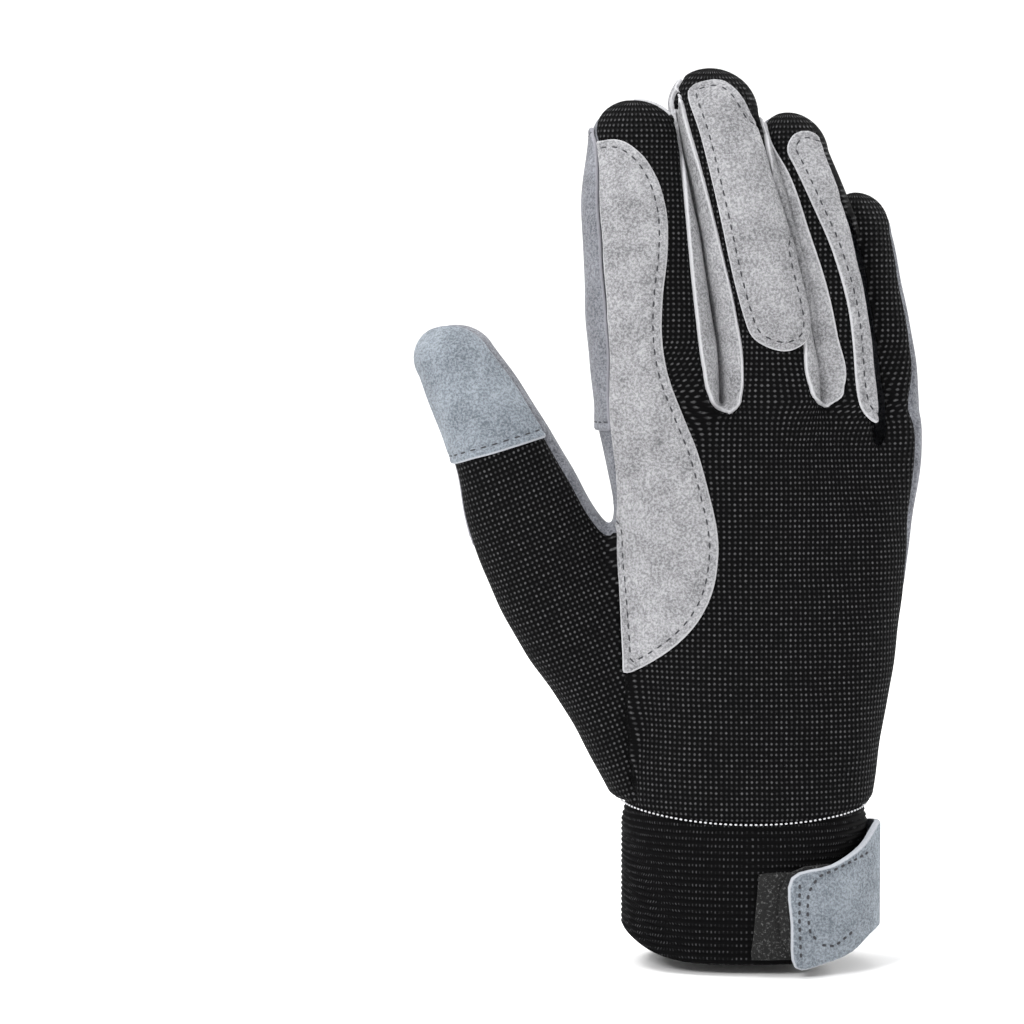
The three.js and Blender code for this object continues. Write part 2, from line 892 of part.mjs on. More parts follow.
// A plain form round the cuff, open past both of the cuff's ends
function cuffForm(outward) {
  const heights = [-pastEnd, cuffHeight / 2, cuffHeight + pastEnd];
  return flatEnded(heights.map((z) => cuffRing(z, outward)));
}

// The cuff's outer form, ribbed all round and tucked into the glove at its upper end
function ribbedForm() {
  const ribs = Math.round(cuffHeight / ribPitch);
  const rings = [];
  for (let i = 0; i <= 2 * ribs; i++) {
    const away = i % 2 ? 0 : -ribDepth;
    rings.push(cuffRing((i * cuffHeight) / (2 * ribs), () => away));
  }
  rings.push(cuffRing(cuffHeight + cuffTuck, () => 0));
  return flatEnded(rings);
}

const cuffHollow = cuffForm(() => -cuffWall);
const cuff = ribbedForm().subtract(cuffHollow).intersect(cuffTopBlock(-gap / 2));

// A layer over the cuff with an outline, between two distances from the cuff's face, as far
// round the little finger's side as wrap
function cuffLayer(rows, from, to, wrap) {
  const layer = cuffForm(to).subtract(cuffForm(from));
  const reach = 4 * farAway;
  const back = new THREE.BoxGeometry(reach, reach, reach).translate(0, wrap - reach / 2, 0);
  return layer.intersect(throughBlock(rows)).intersect(solid(back));
}

// The sine of the angle round the little finger's side at which the strap is back on the cuff
const strapTurn = -0.1;

// The strap's end stands on the patches and lifts off towards the little finger's side.
// Round that side it comes back to the cuff.
function strapFace(distance, returned) {
  return (angle) => {
    if (Math.sin(angle) < strapTurn) return returned;
    return distance + strapLift * Math.max(Math.cos(angle), 0) ** 4;
  };
}

const loopTop = gap + overlayThickness;
const hookBase = loopTop + gap;
const hookTop = hookBase + hookThickness;
const strapBase = hookTop + gap;
const loopPatch = cuffLayer(outlines.loopPatch, () => gap, () => loopTop, 0);
const hookPatch = cuffLayer(
  outlines.hookPatch,
  strapFace(hookBase, gap),
  strapFace(hookTop, gap),
  0,
);
const strap = cuffLayer(
  outlines.strap,
  strapFace(strapBase, gap),
  strapFace(strapBase + strapThickness, gap + strapThickness),
  strapWrap,
);

// A block along a finger gap that holds the side strip between two fingers
function stripBlock(line, grow) {
  const [leftFinger, rightFinger] = line.between.map((name) => fingers[name]);
  const rows = line.panel;
  const rings = rows.map((row, i) => {
    const end = i === 0 ? -1 : i === rows.length - 1 ? 1 : 0;
    const z = heightAt(row.level) + end * grow;
    const left = row.left * palmWidth - grow;
    const right = row.right * palmWidth + grow;
    const at = (finger) => 2 + (z - heightAt(2)) / finger.length;
    const inLeft = valueAt(leftFinger.rows, "level", "x", at(leftFinger)) * palmWidth;
    const inRight = valueAt(rightFinger.rows, "level", "x", at(rightFinger)) * palmWidth;
    const reach = gapReach * palmDepth;
    return [
      new THREE.Vector3(left, -farAway, z),
      new THREE.Vector3(right, -farAway, z),
      new THREE.Vector3(right, -reach, z),
      new THREE.Vector3(Math.max(inRight + grow, right), reach / 2, z),
      new THREE.Vector3(Math.max(inRight + grow, right), farAway, z),
      new THREE.Vector3(Math.min(inLeft - grow, left), farAway, z),
      new THREE.Vector3(Math.min(inLeft - grow, left), reach / 2, z),
      new THREE.Vector3(left, -reach, z),
    ];
  });
  return flatEnded(rings);
}

// The side strips reach past the side seam into the groove of the palm side
const stripFront = 0.16;
const stripSide = seamBlock(stripFront * palmDepth - gap / 2);
const stripSideGrown = seamBlock(stripFront * palmDepth + gap / 2);

const leftOfThumbSeam = [
  { x: -1.6, level: 0.5 },
  ...thumbSeam.map((row) => ({ x: row.x - gap / 2 / palmWidth, level: row.level })),
  { x: -1.6, level: 2.6 },
];
const rightOfThumbSeam = [
  { x: 0.9, level: 0.5 },
  ...thumbSeam.map((row) => ({ x: row.x + gap / 2 / palmWidth, level: row.level })),
  { x: -0.7, level: 3.3 },
  { x: 0.9, level: 3.3 },
];

const cuffRoom = cuffTopBlock(gap / 2);
const hand = shell.subtract(cuffRoom);
const stripsGrown = union(fingerGaps.map((line) => stripBlock(line, gap))).intersect(stripSideGrown);
const backShell = hand.intersect(seamBlock(-gap / 2)).subtract(stripsGrown);
const backPanel = backShell.intersect(throughBlock(rightOfThumbSeam));
const thumbBack = backShell.intersect(throughBlock(leftOfThumbSeam));
const palmPanel = hand.subtract(seamBlock(gap / 2)).subtract(stripsGrown);

// Cuts a layer back from the gaps on both sides of its finger
function withinFinger(layer, name) {
  const half = fingerGap / 2;
  let kept = layer;
  for (const line of fingerGaps) {
    const low = heightAt(line.low);
    const [left, right] = line.between;
    if (left === name) kept = kept.subtract(rightBlock(line, -half, low));
    if (right === name) {
      kept = kept.subtract(rightBlock(undefined, 0, low).subtract(rightBlock(line, half, low)));
    }
  }
  return kept;
}

// A layer sewn on the back or the palm, as far as the side seam
function backOverlay(rows, name) {
  const block = throughBlock(rows, fingers[name]?.length).intersect(seamBlock(-gap / 2));
  return withinFinger(overlaySkin.intersect(block), name).subtract(cuffRoom);
}

function palmOverlay(rows, name) {
  const block = throughBlock(rows, fingers[name]?.length).subtract(seamBlock(gap / 2));
  return withinFinger(overlaySkin.intersect(block), name).subtract(cuffRoom);
}

// Materials
const knitBlack = { color: 0x17181a, roughness: 0.95, metalness: 0 };
const suedeLight = { color: 0xb4b5b7, roughness: 0.95, metalness: 0 };
const suedeGrey = { color: 0x8c9094, roughness: 0.95, metalness: 0 };
const suedeBlue = { color: 0x98a2aa, roughness: 0.95, metalness: 0 };
const elasticBlack = { color: 0x141516, roughness: 0.9, metalness: 0 };
const pileBlack = { color: 0x0c0c0d, roughness: 1, metalness: 0 };

const glove = new THREE.Group();

function geometryOf(body) {
  const mesh = body.getMesh();
  const stride = mesh.numProp;
  const places = new Float32Array(mesh.numVert * 3);
  for (let i = 0; i < mesh.numVert; i++) {
    places.set(mesh.vertProperties.subarray(i * stride, i * stride + 3), i * 3);
  }
  const geometry = new THREE.BufferGeometry();
  geometry.setAttribute("position", new THREE.BufferAttribute(places, 3));
  geometry.setIndex(new THREE.BufferAttribute(mesh.triVerts, 1));
  return geometry;
}

// The largest body of a cut, without the slivers that a cut can leave beside it
function largest(body) {
  return body.decompose().reduce((a, b) => (b.volume() > a.volume() ? b : a));
}

function piece(name, body, finish) {
  const whole = largest(solid(geometryOf(largest(body)), mergeDistance));
  const geometry = geometryOf(whole);
  geometry.computeVertexNormals();
  const part = new THREE.Mesh(geometry, new THREE.MeshStandardMaterial(finish));
  part.name = name;
  glove.add(part);
}

piece("back_panel", backPanel, knitBlack);
piece("thumb_back", thumbBack, knitBlack);
piece("palm_panel", palmPanel, suedeGrey);
for (const line of fingerGaps) {
  const strip = hand.intersect(stripBlock(line, 0)).intersect(stripSide);
  piece("side_strip_" + line.name, strip, suedeLight);
}
piece("index_overlay", backOverlay(outlines.indexOverlay, "index"), suedeLight);
piece("middle_overlay", backOverlay(outlines.middleOverlay, "middle"), suedeLight);
piece("ring_overlay", backOverlay(outlines.ringOverlay, "ring"), suedeLight);
piece("thumb_cap", backOverlay(outlines.thumbCap), suedeBlue);
piece("palm_pad", palmOverlay(outlines.palmPad), suedeGrey);
piece("index_pad", palmOverlay(outlines.indexPad, "index"), suedeGrey);
piece("thumb_pad", palmOverlay(outlines.thumbPad), suedeGrey);
piece("cuff", cuff, elasticBlack);
piece("cuff_loop_patch", loopPatch, pileBlack);
piece("strap_hook_patch", hookPatch, pileBlack);
piece("wrist_strap", strap, suedeBlue);

export default glove;
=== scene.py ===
import math

import bpy
import numpy as np
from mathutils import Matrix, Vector
from mathutils.kdtree import KDTree


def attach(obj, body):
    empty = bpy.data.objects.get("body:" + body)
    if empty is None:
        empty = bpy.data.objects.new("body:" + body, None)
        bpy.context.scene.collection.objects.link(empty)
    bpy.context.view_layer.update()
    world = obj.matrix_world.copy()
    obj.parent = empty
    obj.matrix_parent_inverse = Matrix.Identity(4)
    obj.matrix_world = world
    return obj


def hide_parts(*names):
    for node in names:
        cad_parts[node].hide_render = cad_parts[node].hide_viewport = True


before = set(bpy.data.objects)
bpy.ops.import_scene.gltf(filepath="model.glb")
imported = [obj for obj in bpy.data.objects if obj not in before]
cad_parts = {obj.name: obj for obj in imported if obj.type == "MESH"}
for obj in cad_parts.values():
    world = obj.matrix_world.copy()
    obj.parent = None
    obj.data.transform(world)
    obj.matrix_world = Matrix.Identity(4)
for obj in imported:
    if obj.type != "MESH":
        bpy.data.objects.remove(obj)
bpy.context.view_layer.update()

# Sizes of the glove
MM = 0.001
CUFF_HEIGHT = 42
PALM_LENGTH = 114
PALM_WIDTH = 92
PALM_DEPTH = 30
WRIST_WIDTH = 71
WRIST_DEPTH = 45
INDEX_LENGTH = 84
MIDDLE_LENGTH = 93
RING_LENGTH = 80.5
LITTLE_LENGTH = 58.5
THUMB_REACH = 50
THUMB_RISE = 133
FINGER_WIDTH = 30
FINGER_DEPTH = 22
THUMB_WIDTH = 37
THUMB_DEPTH = 28
THUMB_LEAN = 24
CLOTH_WALL = 1.2
OVERLAY_THICKNESS = 1.1
RIM_RISE = 7
SEAM_RISE = 1.5
SEAM_DIP = 3.8
FOLD_DEPTH = 3.2
SQUARENESS = 2.25
FAR_AWAY = 1e9
RADIANS = math.pi / 180


def table(columns, rows):
    """Rows of numbers as one array for each named column."""
    return dict(zip(columns.split(), np.array(rows, float).T))


# Seams, cut edges and stitch lines. A border's height is a share of the layer's thickness; its
# rounding, and the lines where edges are added to the mesh, are distances from it.
OVERLAY_BASE = 0.1
OVERLAY_UNDERSIDE = 0.05
OVERLAY_EDGE = {"height": 0.4, "rounding": 0.9, "lines": (0.35, 0.9)}
SEAM_DEPTH = 0.75
SEAM_REACH = 1.1
SEAM_OVERLAP = 0.2
SEAM_LINES = (0.5, 1.2, 2.2)
STRIP_RAISED = 0.5
STRIP_EDGE = {"height": 0.2, "rounding": 0.8}
STRIP_PALM_SIDE = -1
NO_CUT_EDGE = 9
NEAR_CUT = 1e-5
NEAR_PATH = 1e-6
STITCH_INSET = 2.4
STITCH_PULL = 0.3
STITCH_GROOVE = 0.55
STITCH_LINES = (STITCH_INSET - 0.6, STITCH_INSET, STITCH_INSET + 0.6)
STITCH_SINK = 0.05
SEWN_AWAY = 0.9

# The cuff with its layers and strap
CUFF_WALL = 2
CUFF_TUCK = 1.0
CUFF_TUCK_HEIGHT = 7
CUFF_TOP_GAP = 0.4
CUFF_THREAD_AWAY = 0.9
CUFF_THREAD_POINTS = 400
CUFF_THREAD_END = 6
CUFF_NARROWED = 1.5
NARROWED_FROM = 0.2
RIB_PITCH = 1.85
RIB_DEPTH = 0.55
RIM_ROUNDING = 2.0
LAYER_GAP = 0.3
LAYER_ANGLES = (-math.pi, 0.14 * math.pi)
LAYER_HEIGHTS = (-3, CUFF_HEIGHT + 6)
LOOP_THICKNESS = 1.1
LOOP_EDGE = {"height": 0.5, "rounding": 0.8}
LOOP_FUZZ = 0.12
FUZZ_SEED = 3
HOOK_THICKNESS = 1.0
STRAP_THICKNESS = 1.8
STRAP_EDGE = {"height": 0.6, "rounding": 0.8, "lines": (0.3, 0.8, 1.8, 2.6)}
STRAP_SIDE = 1.2
STRAP_LIFT = 1.2
STRAP_TURN = (-0.3, 0.1)
STRAP_WRAP = 7

# Fineness of the meshes. The glove's net has spans along X, Y and Z, each from a start to an
# end with its share of the net's step.
NET_STEP = 0.84
NET_SPANS = [
    [(-99, -47, 1.3), (-47, 51, 1)],
    [(-26, 28, 1.2)],
    [(35, 145, 1.5), (145, 252, 1.25)],
]
RELAX_ROUNDS = 2
CUFF_COLUMNS = 320
CUFF_ROWS = 110
LAYER_COLUMNS = 260
LAYER_ROWS = 110
OUTLINE_STEPS = 4
LAID_STEP = 0.4
LAID_POINTS = 3
ARC_STEPS = 12

# Blending of the hand, the fingers and the thumb, with levels as in height_at
HAND_DOME = 7
FINGER_ROOT_ROUNDING = 3.2
FOOT_SUNK = 5
FOOT_FADE = 30
BETWEEN_FINGERS_LOW = 3
BETWEEN_FINGERS_HIGH = 0.5
BETWEEN_FINGERS_LEVELS = (1.93, 2.02)
THUMB_ROOT_ROUNDING = 8
THUMB_ROOT_LEAST = 0.5
THUMB_ROOT_LEVELS = (1.1, 1.35)
FINGER_SLIT = 1.0
SLIT_SLANT = 0.92
SLIT_ROUNDING = 2.6
SLIT_TOP = 3
FOLD_FADE = (0, 4)
WRINKLE_DEPTH = 0.3
FINER_WRINKLES = 0.4

# Where the seams lie: x as shares of the palm's width, y as shares of its depth
STRIP_TURN = 0.2
STRIP_FADE = (40, 15)
STRIP_FRONT = 0.16
LITTLE_SIDE = (0.3, 0.42)
INDEX_SIDE = (0.35, 0.44)
FINGER_SEAM_LEVELS = (1.97, 2.12)
THUMB_SEAM_SHIFT = {"outside": 0.12, "inside": -0.26}
TIP_SEAM_SHIFT = 0.1
TIP_SEAM_START = -0.5

# Stitches: pitch along the seam, length and width of a thread
OVERLAY_STITCH = (3.3, 1.7, 0.6)
PALM_STITCH = (2.6, 1.6, 0.7)
STRAP_STITCH = (2.4, 1.2, 0.75)
CUFF_STITCH = (1.4, 0.75, 0.5)

# A thread: its size along it, for a thread of length one and radius one, and its points
THREAD_ROWS = table("along size", [
    [-0.5, 0.3], [-0.4, 0.8], [-0.2, 1.0], [0.2, 1.0], [0.4, 0.8], [0.5, 0.3],
])
THREAD_POINT = 0.52
THREAD_SIDES = 6
SHORTEST_THREAD = 0.5

# The knit and the elastic
KNIT_ACROSS = 1.38
KNIT_ALONG = 1.5
KNIT_FINGER_LEVELS = (1.95, 2.2)
TICK_PITCH = 0.9

# Colours, as linear light
SUEDE_COLOURS = {
    "suede_light": ((0.13, 0.13, 0.137), (0.42, 0.42, 0.435), (0.56, 0.56, 0.58)),
    "suede_grey": ((0.07, 0.073, 0.085), (0.26, 0.268, 0.295), (0.3, 0.3, 0.33)),
    "suede_blue": ((0.1, 0.115, 0.135), (0.3, 0.335, 0.372), (0.46, 0.48, 0.52)),
}
KNIT_DARK = (0.002, 0.002, 0.0022)
KNIT_LIGHT = (0.085, 0.085, 0.088)
ELASTIC_DARK = (0.002, 0.002, 0.0022)
ELASTIC_LIGHT = (0.06, 0.06, 0.063)
PILE_DARK = (0.003, 0.003, 0.003)
PILE_LIGHT = (0.12, 0.12, 0.12)
THREAD_DARK = (0.03, 0.03, 0.035)
THREAD_LIGHT = (0.6, 0.6, 0.62)
# Grey thread of the palm side, painted much darker than the real thread: painted shade standing for
# the shadows round each stitch
GREY_THREAD_AND_SHADE = (0.045, 0.045, 0.052)
FLOOR_COLOUR = (0.9, 0.9, 0.9)

# Scales of the noise in the materials
SPECKLE_SCALE = 1500.0
PATCH_SCALE = 130.0
WANDER_SCALE = 260.0
KNIT_SCALE = 900.0
ELASTIC_SCALE = 700.0
PILE_SCALE = 1400.0

# The photograph: its side in pixels, the size of a pixel, and where the glove stands in it
PIXELS = 1024
PIXEL_SIZE = 0.281
MIDDLE_PIXEL = 748
RIM_PIXEL = 955

# Camera, in millimetres and degrees
CAMERA_LENS = 125
SENSOR_WIDTH = 36
CAMERA_RISE = 4

# The floor and its backdrop, in metres but for its level
FLOOR_LEVEL = -3
FLOOR_START = -3.0
FLOOR_END = 1.6
FLOOR_BEND = 1.0
BEND_STEPS = 16
WALL_HEIGHT = 3.0
FLOOR_HALF_WIDTH = 4.0

# Lights: name, place, size and power, in metres and watts
WORLD_STRENGTH = 0.55
LIT_PLACE = (0, 0, 0.13)
LIGHTS = [
    ("key", (-1.1, -1.4, 1.3), 0.7, 30.0),
    ("fill", (1.4, -1.2, 0.6), 1.2, 6.0),
    ("top", (0.0, 0.3, 2.0), 1.2, 10.0),
    ("back", (1.5, 0.9, 1.0), 0.6, 26.0),
    ("wall", (-1.2, 0.2, 2.6), 1.5, 60.0),
]

# The hand from the cuff to the finger roots, by level as height_at says. left and right are
# shares of the palm's width, y, back and front are shares of its depth, and roll is in degrees.
HAND_ROWS = table("level left right y back front roll", [
    [0.88, -0.39, 0.383, 0.0, 0.76, 0.76, 0],
    [1.0, -0.388, 0.384, 0.0, 0.75, 0.76, 0],
    [1.12, -0.375, 0.402, 0.0, 0.7, 0.74, 1],
    [1.28, -0.37, 0.434, 0.0, 0.64, 0.7, 2],
    [1.42, -0.385, 0.461, 0.01, 0.6, 0.66, 3],
    [1.56, -0.395, 0.483, 0.02, 0.56, 0.6, 4],
    [1.68, -0.405, 0.502, 0.03, 0.53, 0.55, 5],
    [1.79, -0.425, 0.522, 0.04, 0.51, 0.51, 6],
    [1.89, -0.445, 0.53, 0.05, 0.48, 0.48, 7],
    [1.955, -0.45, 0.522, 0.05, 0.43, 0.43, 7],
    [2.0, -0.44, 0.5, 0.05, 0.34, 0.34, 7],
])

# Fingers: x is a share of the palm's width, y of its depth, half_width and half_depth are of
# the finger's width and depth, and roll is in degrees. The round tip starts at the last row.
FINGER_COLUMNS = "level x y half_width half_depth roll"
FINGERS = {
    "index": {
        "length": INDEX_LENGTH,
        "tip": {"x": -0.35, "y": 0.22},
        "rows": table(FINGER_COLUMNS, [
            [1.72, -0.27, -0.1, 0.48, 0.5, 0],
            [1.95, -0.272, -0.14, 0.56, 0.54, 0],
            [2.1, -0.28, -0.16, 0.585, 0.53, -2],
            [2.27, -0.295, -0.16, 0.575, 0.51, -3],
            [2.42, -0.31, -0.14, 0.55, 0.5, -4],
            [2.58, -0.324, -0.08, 0.53, 0.49, -4],
            [2.74, -0.334, 0.02, 0.49, 0.47, -4],
            [2.86, -0.342, 0.12, 0.42, 0.43, -4],
        ]),
    },
    "middle": {
        "length": MIDDLE_LENGTH,
        "tip": {"x": -0.116, "y": 0.34},
        "rows": table(FINGER_COLUMNS, [
            [1.72, 0.05, -0.04, 0.46, 0.5, 0],
            [1.95, 0.062, -0.06, 0.5, 0.52, -6],
            [2.08, 0.06, -0.07, 0.52, 0.51, -8],
            [2.25, 0.03, -0.08, 0.52, 0.5, -10],
            [2.4, 0.002, -0.07, 0.51, 0.5, -10],
            [2.55, -0.03, -0.02, 0.49, 0.49, -10],
            [2.7, -0.066, 0.08, 0.45, 0.47, -8],
            [2.87, -0.104, 0.22, 0.415, 0.43, -6],
        ]),
    },
    "ring": {
        "length": RING_LENGTH,
        "tip": {"x": 0.126, "y": 0.52},
        "rows": table(FINGER_COLUMNS, [
            [1.72, 0.26, 0.08, 0.4, 0.5, 0],
            [1.95, 0.285, 0.1, 0.44, 0.5, -8],
            [2.1, 0.275, 0.1, 0.46, 0.49, -12],
            [2.27, 0.248, 0.11, 0.46, 0.48, -14],
            [2.43, 0.222, 0.13, 0.45, 0.47, -14],
            [2.6, 0.19, 0.19, 0.44, 0.46, -14],
            [2.76, 0.155, 0.29, 0.41, 0.44, -12],
            [2.87, 0.135, 0.39, 0.36, 0.4, -10],
        ]),
    },
    "little": {
        "length": LITTLE_LENGTH,
        "tip": {"x": 0.34, "y": 0.66},
        "rows": table(FINGER_COLUMNS, [
            [1.66, 0.4, 0.16, 0.36, 0.46, 0],
            [1.88, 0.4, 0.24, 0.4, 0.46, -6],
            [2.05, 0.39, 0.27, 0.42, 0.45, -8],
            [2.22, 0.38, 0.28, 0.415, 0.44, -10],
            [2.42, 0.366, 0.31, 0.4, 0.43, -10],
            [2.62, 0.348, 0.38, 0.375, 0.42, -10],
            [2.8, 0.333, 0.48, 0.35, 0.39, -8],
        ]),
    },
}

# The thumb's centre line: x is a share of its reach and z of its rise, from its root. Its
# sections all lean outwards by THUMB_LEAN.
THUMB_ROOT = {"x": -0.35, "z": 1.02}
THUMB_TIP = {"x": -1.1, "y": 0.5, "z": 1.0}
THUMB_ROWS = table("x z y half_width half_depth", [
    [0.12, -0.02, 0.12, 0.22, 0.5],
    [-0.04, 0.15, 0.12, 0.34, 0.5],
    [-0.18, 0.265, 0.13, 0.385, 0.5],
    [-0.3, 0.365, 0.14, 0.45, 0.5],
    [-0.45, 0.49, 0.16, 0.5, 0.5],
    [-0.59, 0.605, 0.2, 0.47, 0.47],
    [-0.735, 0.745, 0.26, 0.385, 0.43],
    [-0.87, 0.85, 0.34, 0.34, 0.4],
    [-0.99, 0.935, 0.42, 0.29, 0.36],
])

# The gaps between the fingers, in shares of the palm's width. back and front are where a gap's
# line crosses the depths of -GAP_REACH and +GAP_REACH, shares of the palm's depth, and low is
# the level where the gap ends. left and right are the strip's edges on the back of the hand.
GAP_REACH = 0.4
FINGER_GAPS = [
    {
        "name": "index_middle",
        "between": ["index", "middle"],
        "low": 2.0,
        "rows": table("level back front", [
            [1.6, -0.05, -0.13], [2.05, -0.075, -0.15], [2.28, -0.105, -0.165],
            [2.45, -0.13, -0.18], [2.7, -0.175, -0.205], [3.2, -0.26, -0.27],
        ]),
        "strip": table("level left right", [
            [1.972, -0.066, -0.062], [1.985, -0.1, -0.042], [2.02, -0.125, -0.03],
            [2.1, -0.145, -0.026], [2.27, -0.168, -0.05], [2.45, -0.186, -0.092],
            [2.7, -0.204, -0.155], [2.84, -0.215, -0.195], [2.93, -0.22, -0.216],
            [2.965, -0.235, -0.232],
        ]),
    },
    {
        "name": "middle_ring",
        "between": ["middle", "ring"],
        "low": 2.0,
        "rows": table("level back front", [
            [1.6, 0.25, 0.13], [2.05, 0.235, 0.1], [2.28, 0.19, 0.07], [2.45, 0.15, 0.05],
            [2.7, 0.075, 0.0], [3.2, -0.02, -0.06],
        ]),
        "strip": table("level left right", [
            [1.986, 0.228, 0.232], [2.0, 0.204, 0.262], [2.05, 0.176, 0.285], [2.2, 0.158, 0.262],
            [2.35, 0.132, 0.228], [2.5, 0.105, 0.18], [2.68, 0.066, 0.12], [2.785, 0.052, 0.067],
            [2.85, 0.05, 0.055],
        ]),
    },
    {
        "name": "ring_little",
        "between": ["ring", "little"],
        "low": 1.905,
        "rows": table("level back front", [
            [1.6, 0.44, 0.3], [2.05, 0.43, 0.26], [2.28, 0.4, 0.235], [2.45, 0.37, 0.22],
            [2.7, 0.3, 0.2], [3.2, 0.2, 0.16],
        ]),
        "strip": table("level left right", [
            [1.89, 0.392, 0.4], [1.91, 0.38, 0.415], [1.96, 0.37, 0.42], [2.1, 0.36, 0.408],
            [2.3, 0.33, 0.378], [2.5, 0.29, 0.338], [2.56, 0.28, 0.315],
        ]),
    },
]

# Where the side seams lie in depth, as shares of the palm's depth beside the middle of the
# little finger's side and of the index's side, from the cuff to the tip
LITTLE_SEAM_ROWS = table("level offset", [
    [1.0, 0.1], [1.4, 0.02], [1.5, -0.04], [1.7, -0.16], [1.9, -0.22], [2.3, -0.16], [2.8, -0.04],
    [3.0, 0],
])
INDEX_SEAM_ROWS = table("level offset", [
    [1.0, 0], [1.66, 0], [1.72, -0.2], [1.9, -0.28], [2.4, -0.28], [2.75, -0.2], [2.9, 0],
])

# Folds of the palm: a crease runs through each fold's points. Depths are shares of FOLD_DEPTH,
# widths and x shares of the palm's width.
FOLDS = [
    {
        "depth": 1,
        "width": 0.075,
        "points": table("x level", [
            [0.04, 1.98], [0.12, 1.83], [0.19, 1.71], [0.27, 1.62],
        ]),
    },
    {
        "depth": 0.6,
        "width": 0.065,
        "points": table("x level", [
            [0.22, 1.86], [0.3, 1.79], [0.38, 1.75],
        ]),
    },
    {
        "depth": 0.5,
        "width": 0.07,
        "points": table("x level", [
            [-0.14, 1.05], [-0.2, 1.13], [-0.26, 1.2],
        ]),
    },
    {
        "depth": 0.4,
        "width": 0.05,
        "points": table("x level", [
            [0.27, 1.03], [0.285, 1.12],
        ]),
    },
]

# Outlines of the layers sewn on the outside, seen from the back or the front of the hand
OUTLINE_COLUMNS = "x level"
OUTLINES = {
    "index_overlay": table(OUTLINE_COLUMNS, [
        [-0.56, 2.92], [-0.476, 2.86], [-0.415, 2.862], [-0.375, 2.85], [-0.33, 2.81],
        [-0.3, 2.762], [-0.275, 2.7], [-0.256, 2.6], [-0.256, 2.48], [-0.269, 2.35],
        [-0.272, 2.22], [-0.254, 2.09], [-0.208, 1.965], [-0.162, 1.875], [-0.128, 1.777],
        [-0.104, 1.69], [-0.101, 1.615], [-0.122, 1.527], [-0.177, 1.448], [-0.27, 1.38],
        [-0.374, 1.335], [-0.386, 1.385], [-0.397, 1.6], [-0.41, 1.71], [-0.56, 1.72],
    ]),
    "middle_overlay": table(OUTLINE_COLUMNS, [
        [-0.15, 2.948], [-0.108, 2.956], [-0.07, 2.948], [-0.03, 2.91], [0.0, 2.85],
        [0.043, 2.75], [0.1, 2.54], [0.15, 2.34], [0.17, 2.24], [0.165, 2.185], [0.13, 2.157],
        [0.09, 2.15], [0.04, 2.165], [0.0, 2.195], [-0.024, 2.255], [-0.06, 2.39], [-0.105, 2.6],
        [-0.15, 2.79], [-0.185, 2.9], [-0.175, 2.935],
    ]),
    "ring_overlay": table(OUTLINE_COLUMNS, [
        [0.116, 2.865], [0.135, 2.915], [0.17, 2.93], [0.2, 2.92], [0.23, 2.89], [0.3, 2.86],
        [0.46, 2.84], [0.56, 2.4], [0.56, 2.02], [0.43, 1.95], [0.38, 1.945], [0.335, 1.98],
        [0.318, 2.06], [0.308, 2.2], [0.29, 2.34], [0.245, 2.52], [0.19, 2.67], [0.14, 2.8],
    ]),
    "thumb_cap": table(OUTLINE_COLUMNS, [
        [-1.02, 1.87], [-0.95, 1.845], [-0.9, 1.84], [-0.84, 1.855], [-0.78, 1.868],
        [-0.7, 1.888], [-0.63, 1.905], [-0.56, 1.925], [-0.5, 2.0], [-0.55, 2.3], [-0.62, 2.6],
        [-1.2, 2.6], [-1.2, 1.93],
    ]),
    "palm_pad": table(OUTLINE_COLUMNS, [
        [-0.41, 1.92], [-0.3, 1.93], [-0.07, 1.92], [0.0, 1.905], [0.07, 1.855], [0.125, 1.79],
        [0.16, 1.71], [0.173, 1.58], [0.168, 1.46], [0.125, 1.36], [0.062, 1.285], [-0.02, 1.245],
        [-0.12, 1.225], [-0.2, 1.225], [-0.3, 1.255], [-0.4, 1.3], [-0.5, 1.35], [-0.6, 1.42],
        [-0.64, 1.49], [-0.6, 1.53], [-0.55, 1.545], [-0.49, 1.56], [-0.42, 1.6], [-0.39, 1.7],
        [-0.41, 1.8],
    ]),
    "index_pad": table(OUTLINE_COLUMNS, [
        [-0.23, 2.08], [-0.222, 2.3], [-0.222, 2.6], [-0.235, 2.8], [-0.29, 2.87], [-0.36, 2.86],
        [-0.56, 2.84], [-0.56, 1.97], [-0.28, 1.975], [-0.245, 2.01],
    ]),
    "thumb_pad": table(OUTLINE_COLUMNS, [
        [-0.8, 1.99], [-0.86, 2.02], [-0.93, 2.02], [-0.985, 1.975], [-0.985, 1.88],
        [-0.93, 1.78], [-0.85, 1.66], [-0.76, 1.56], [-0.68, 1.53], [-0.62, 1.6], [-0.66, 1.74],
        [-0.74, 1.88],
    ]),
    "loop_patch": table(OUTLINE_COLUMNS, [
        [0.024, 0.61], [0.02, 0.56], [0.006, 0.2], [0.0, 0.06], [0.03, 0.04], [0.2, 0.05],
        [0.24, 0.1], [0.24, 0.56], [0.2, 0.61], [0.1, 0.62],
    ]),
    "hook_patch": table(OUTLINE_COLUMNS, [
        [0.108, 0.62], [0.108, 0.1], [0.32, 0.12], [0.35, 0.6],
    ]),
    "strap": table(OUTLINE_COLUMNS, [
        [0.116, 0.595], [0.116, 0.28], [0.128, 0.0], [0.22, 0.02], [0.3, 0.08], [0.38, 0.2],
        [0.56, 0.3], [0.56, 0.98], [0.4, 0.93], [0.33, 0.78], [0.24, 0.67],
    ]),
}

# Seam between the thumb's back and the back of the hand, from the cuff up and past the crotch
THUMB_SEAM = table(OUTLINE_COLUMNS, [
    [-0.345, 0.9], [-0.347, 1.03], [-0.36, 1.11], [-0.373, 1.26], [-0.376, 1.33], [-0.393, 1.5],
    [-0.402, 1.66], [-0.43, 1.7], [-0.464, 1.745], [-0.51, 1.86], [-0.58, 2.0], [-0.7, 2.6],
])

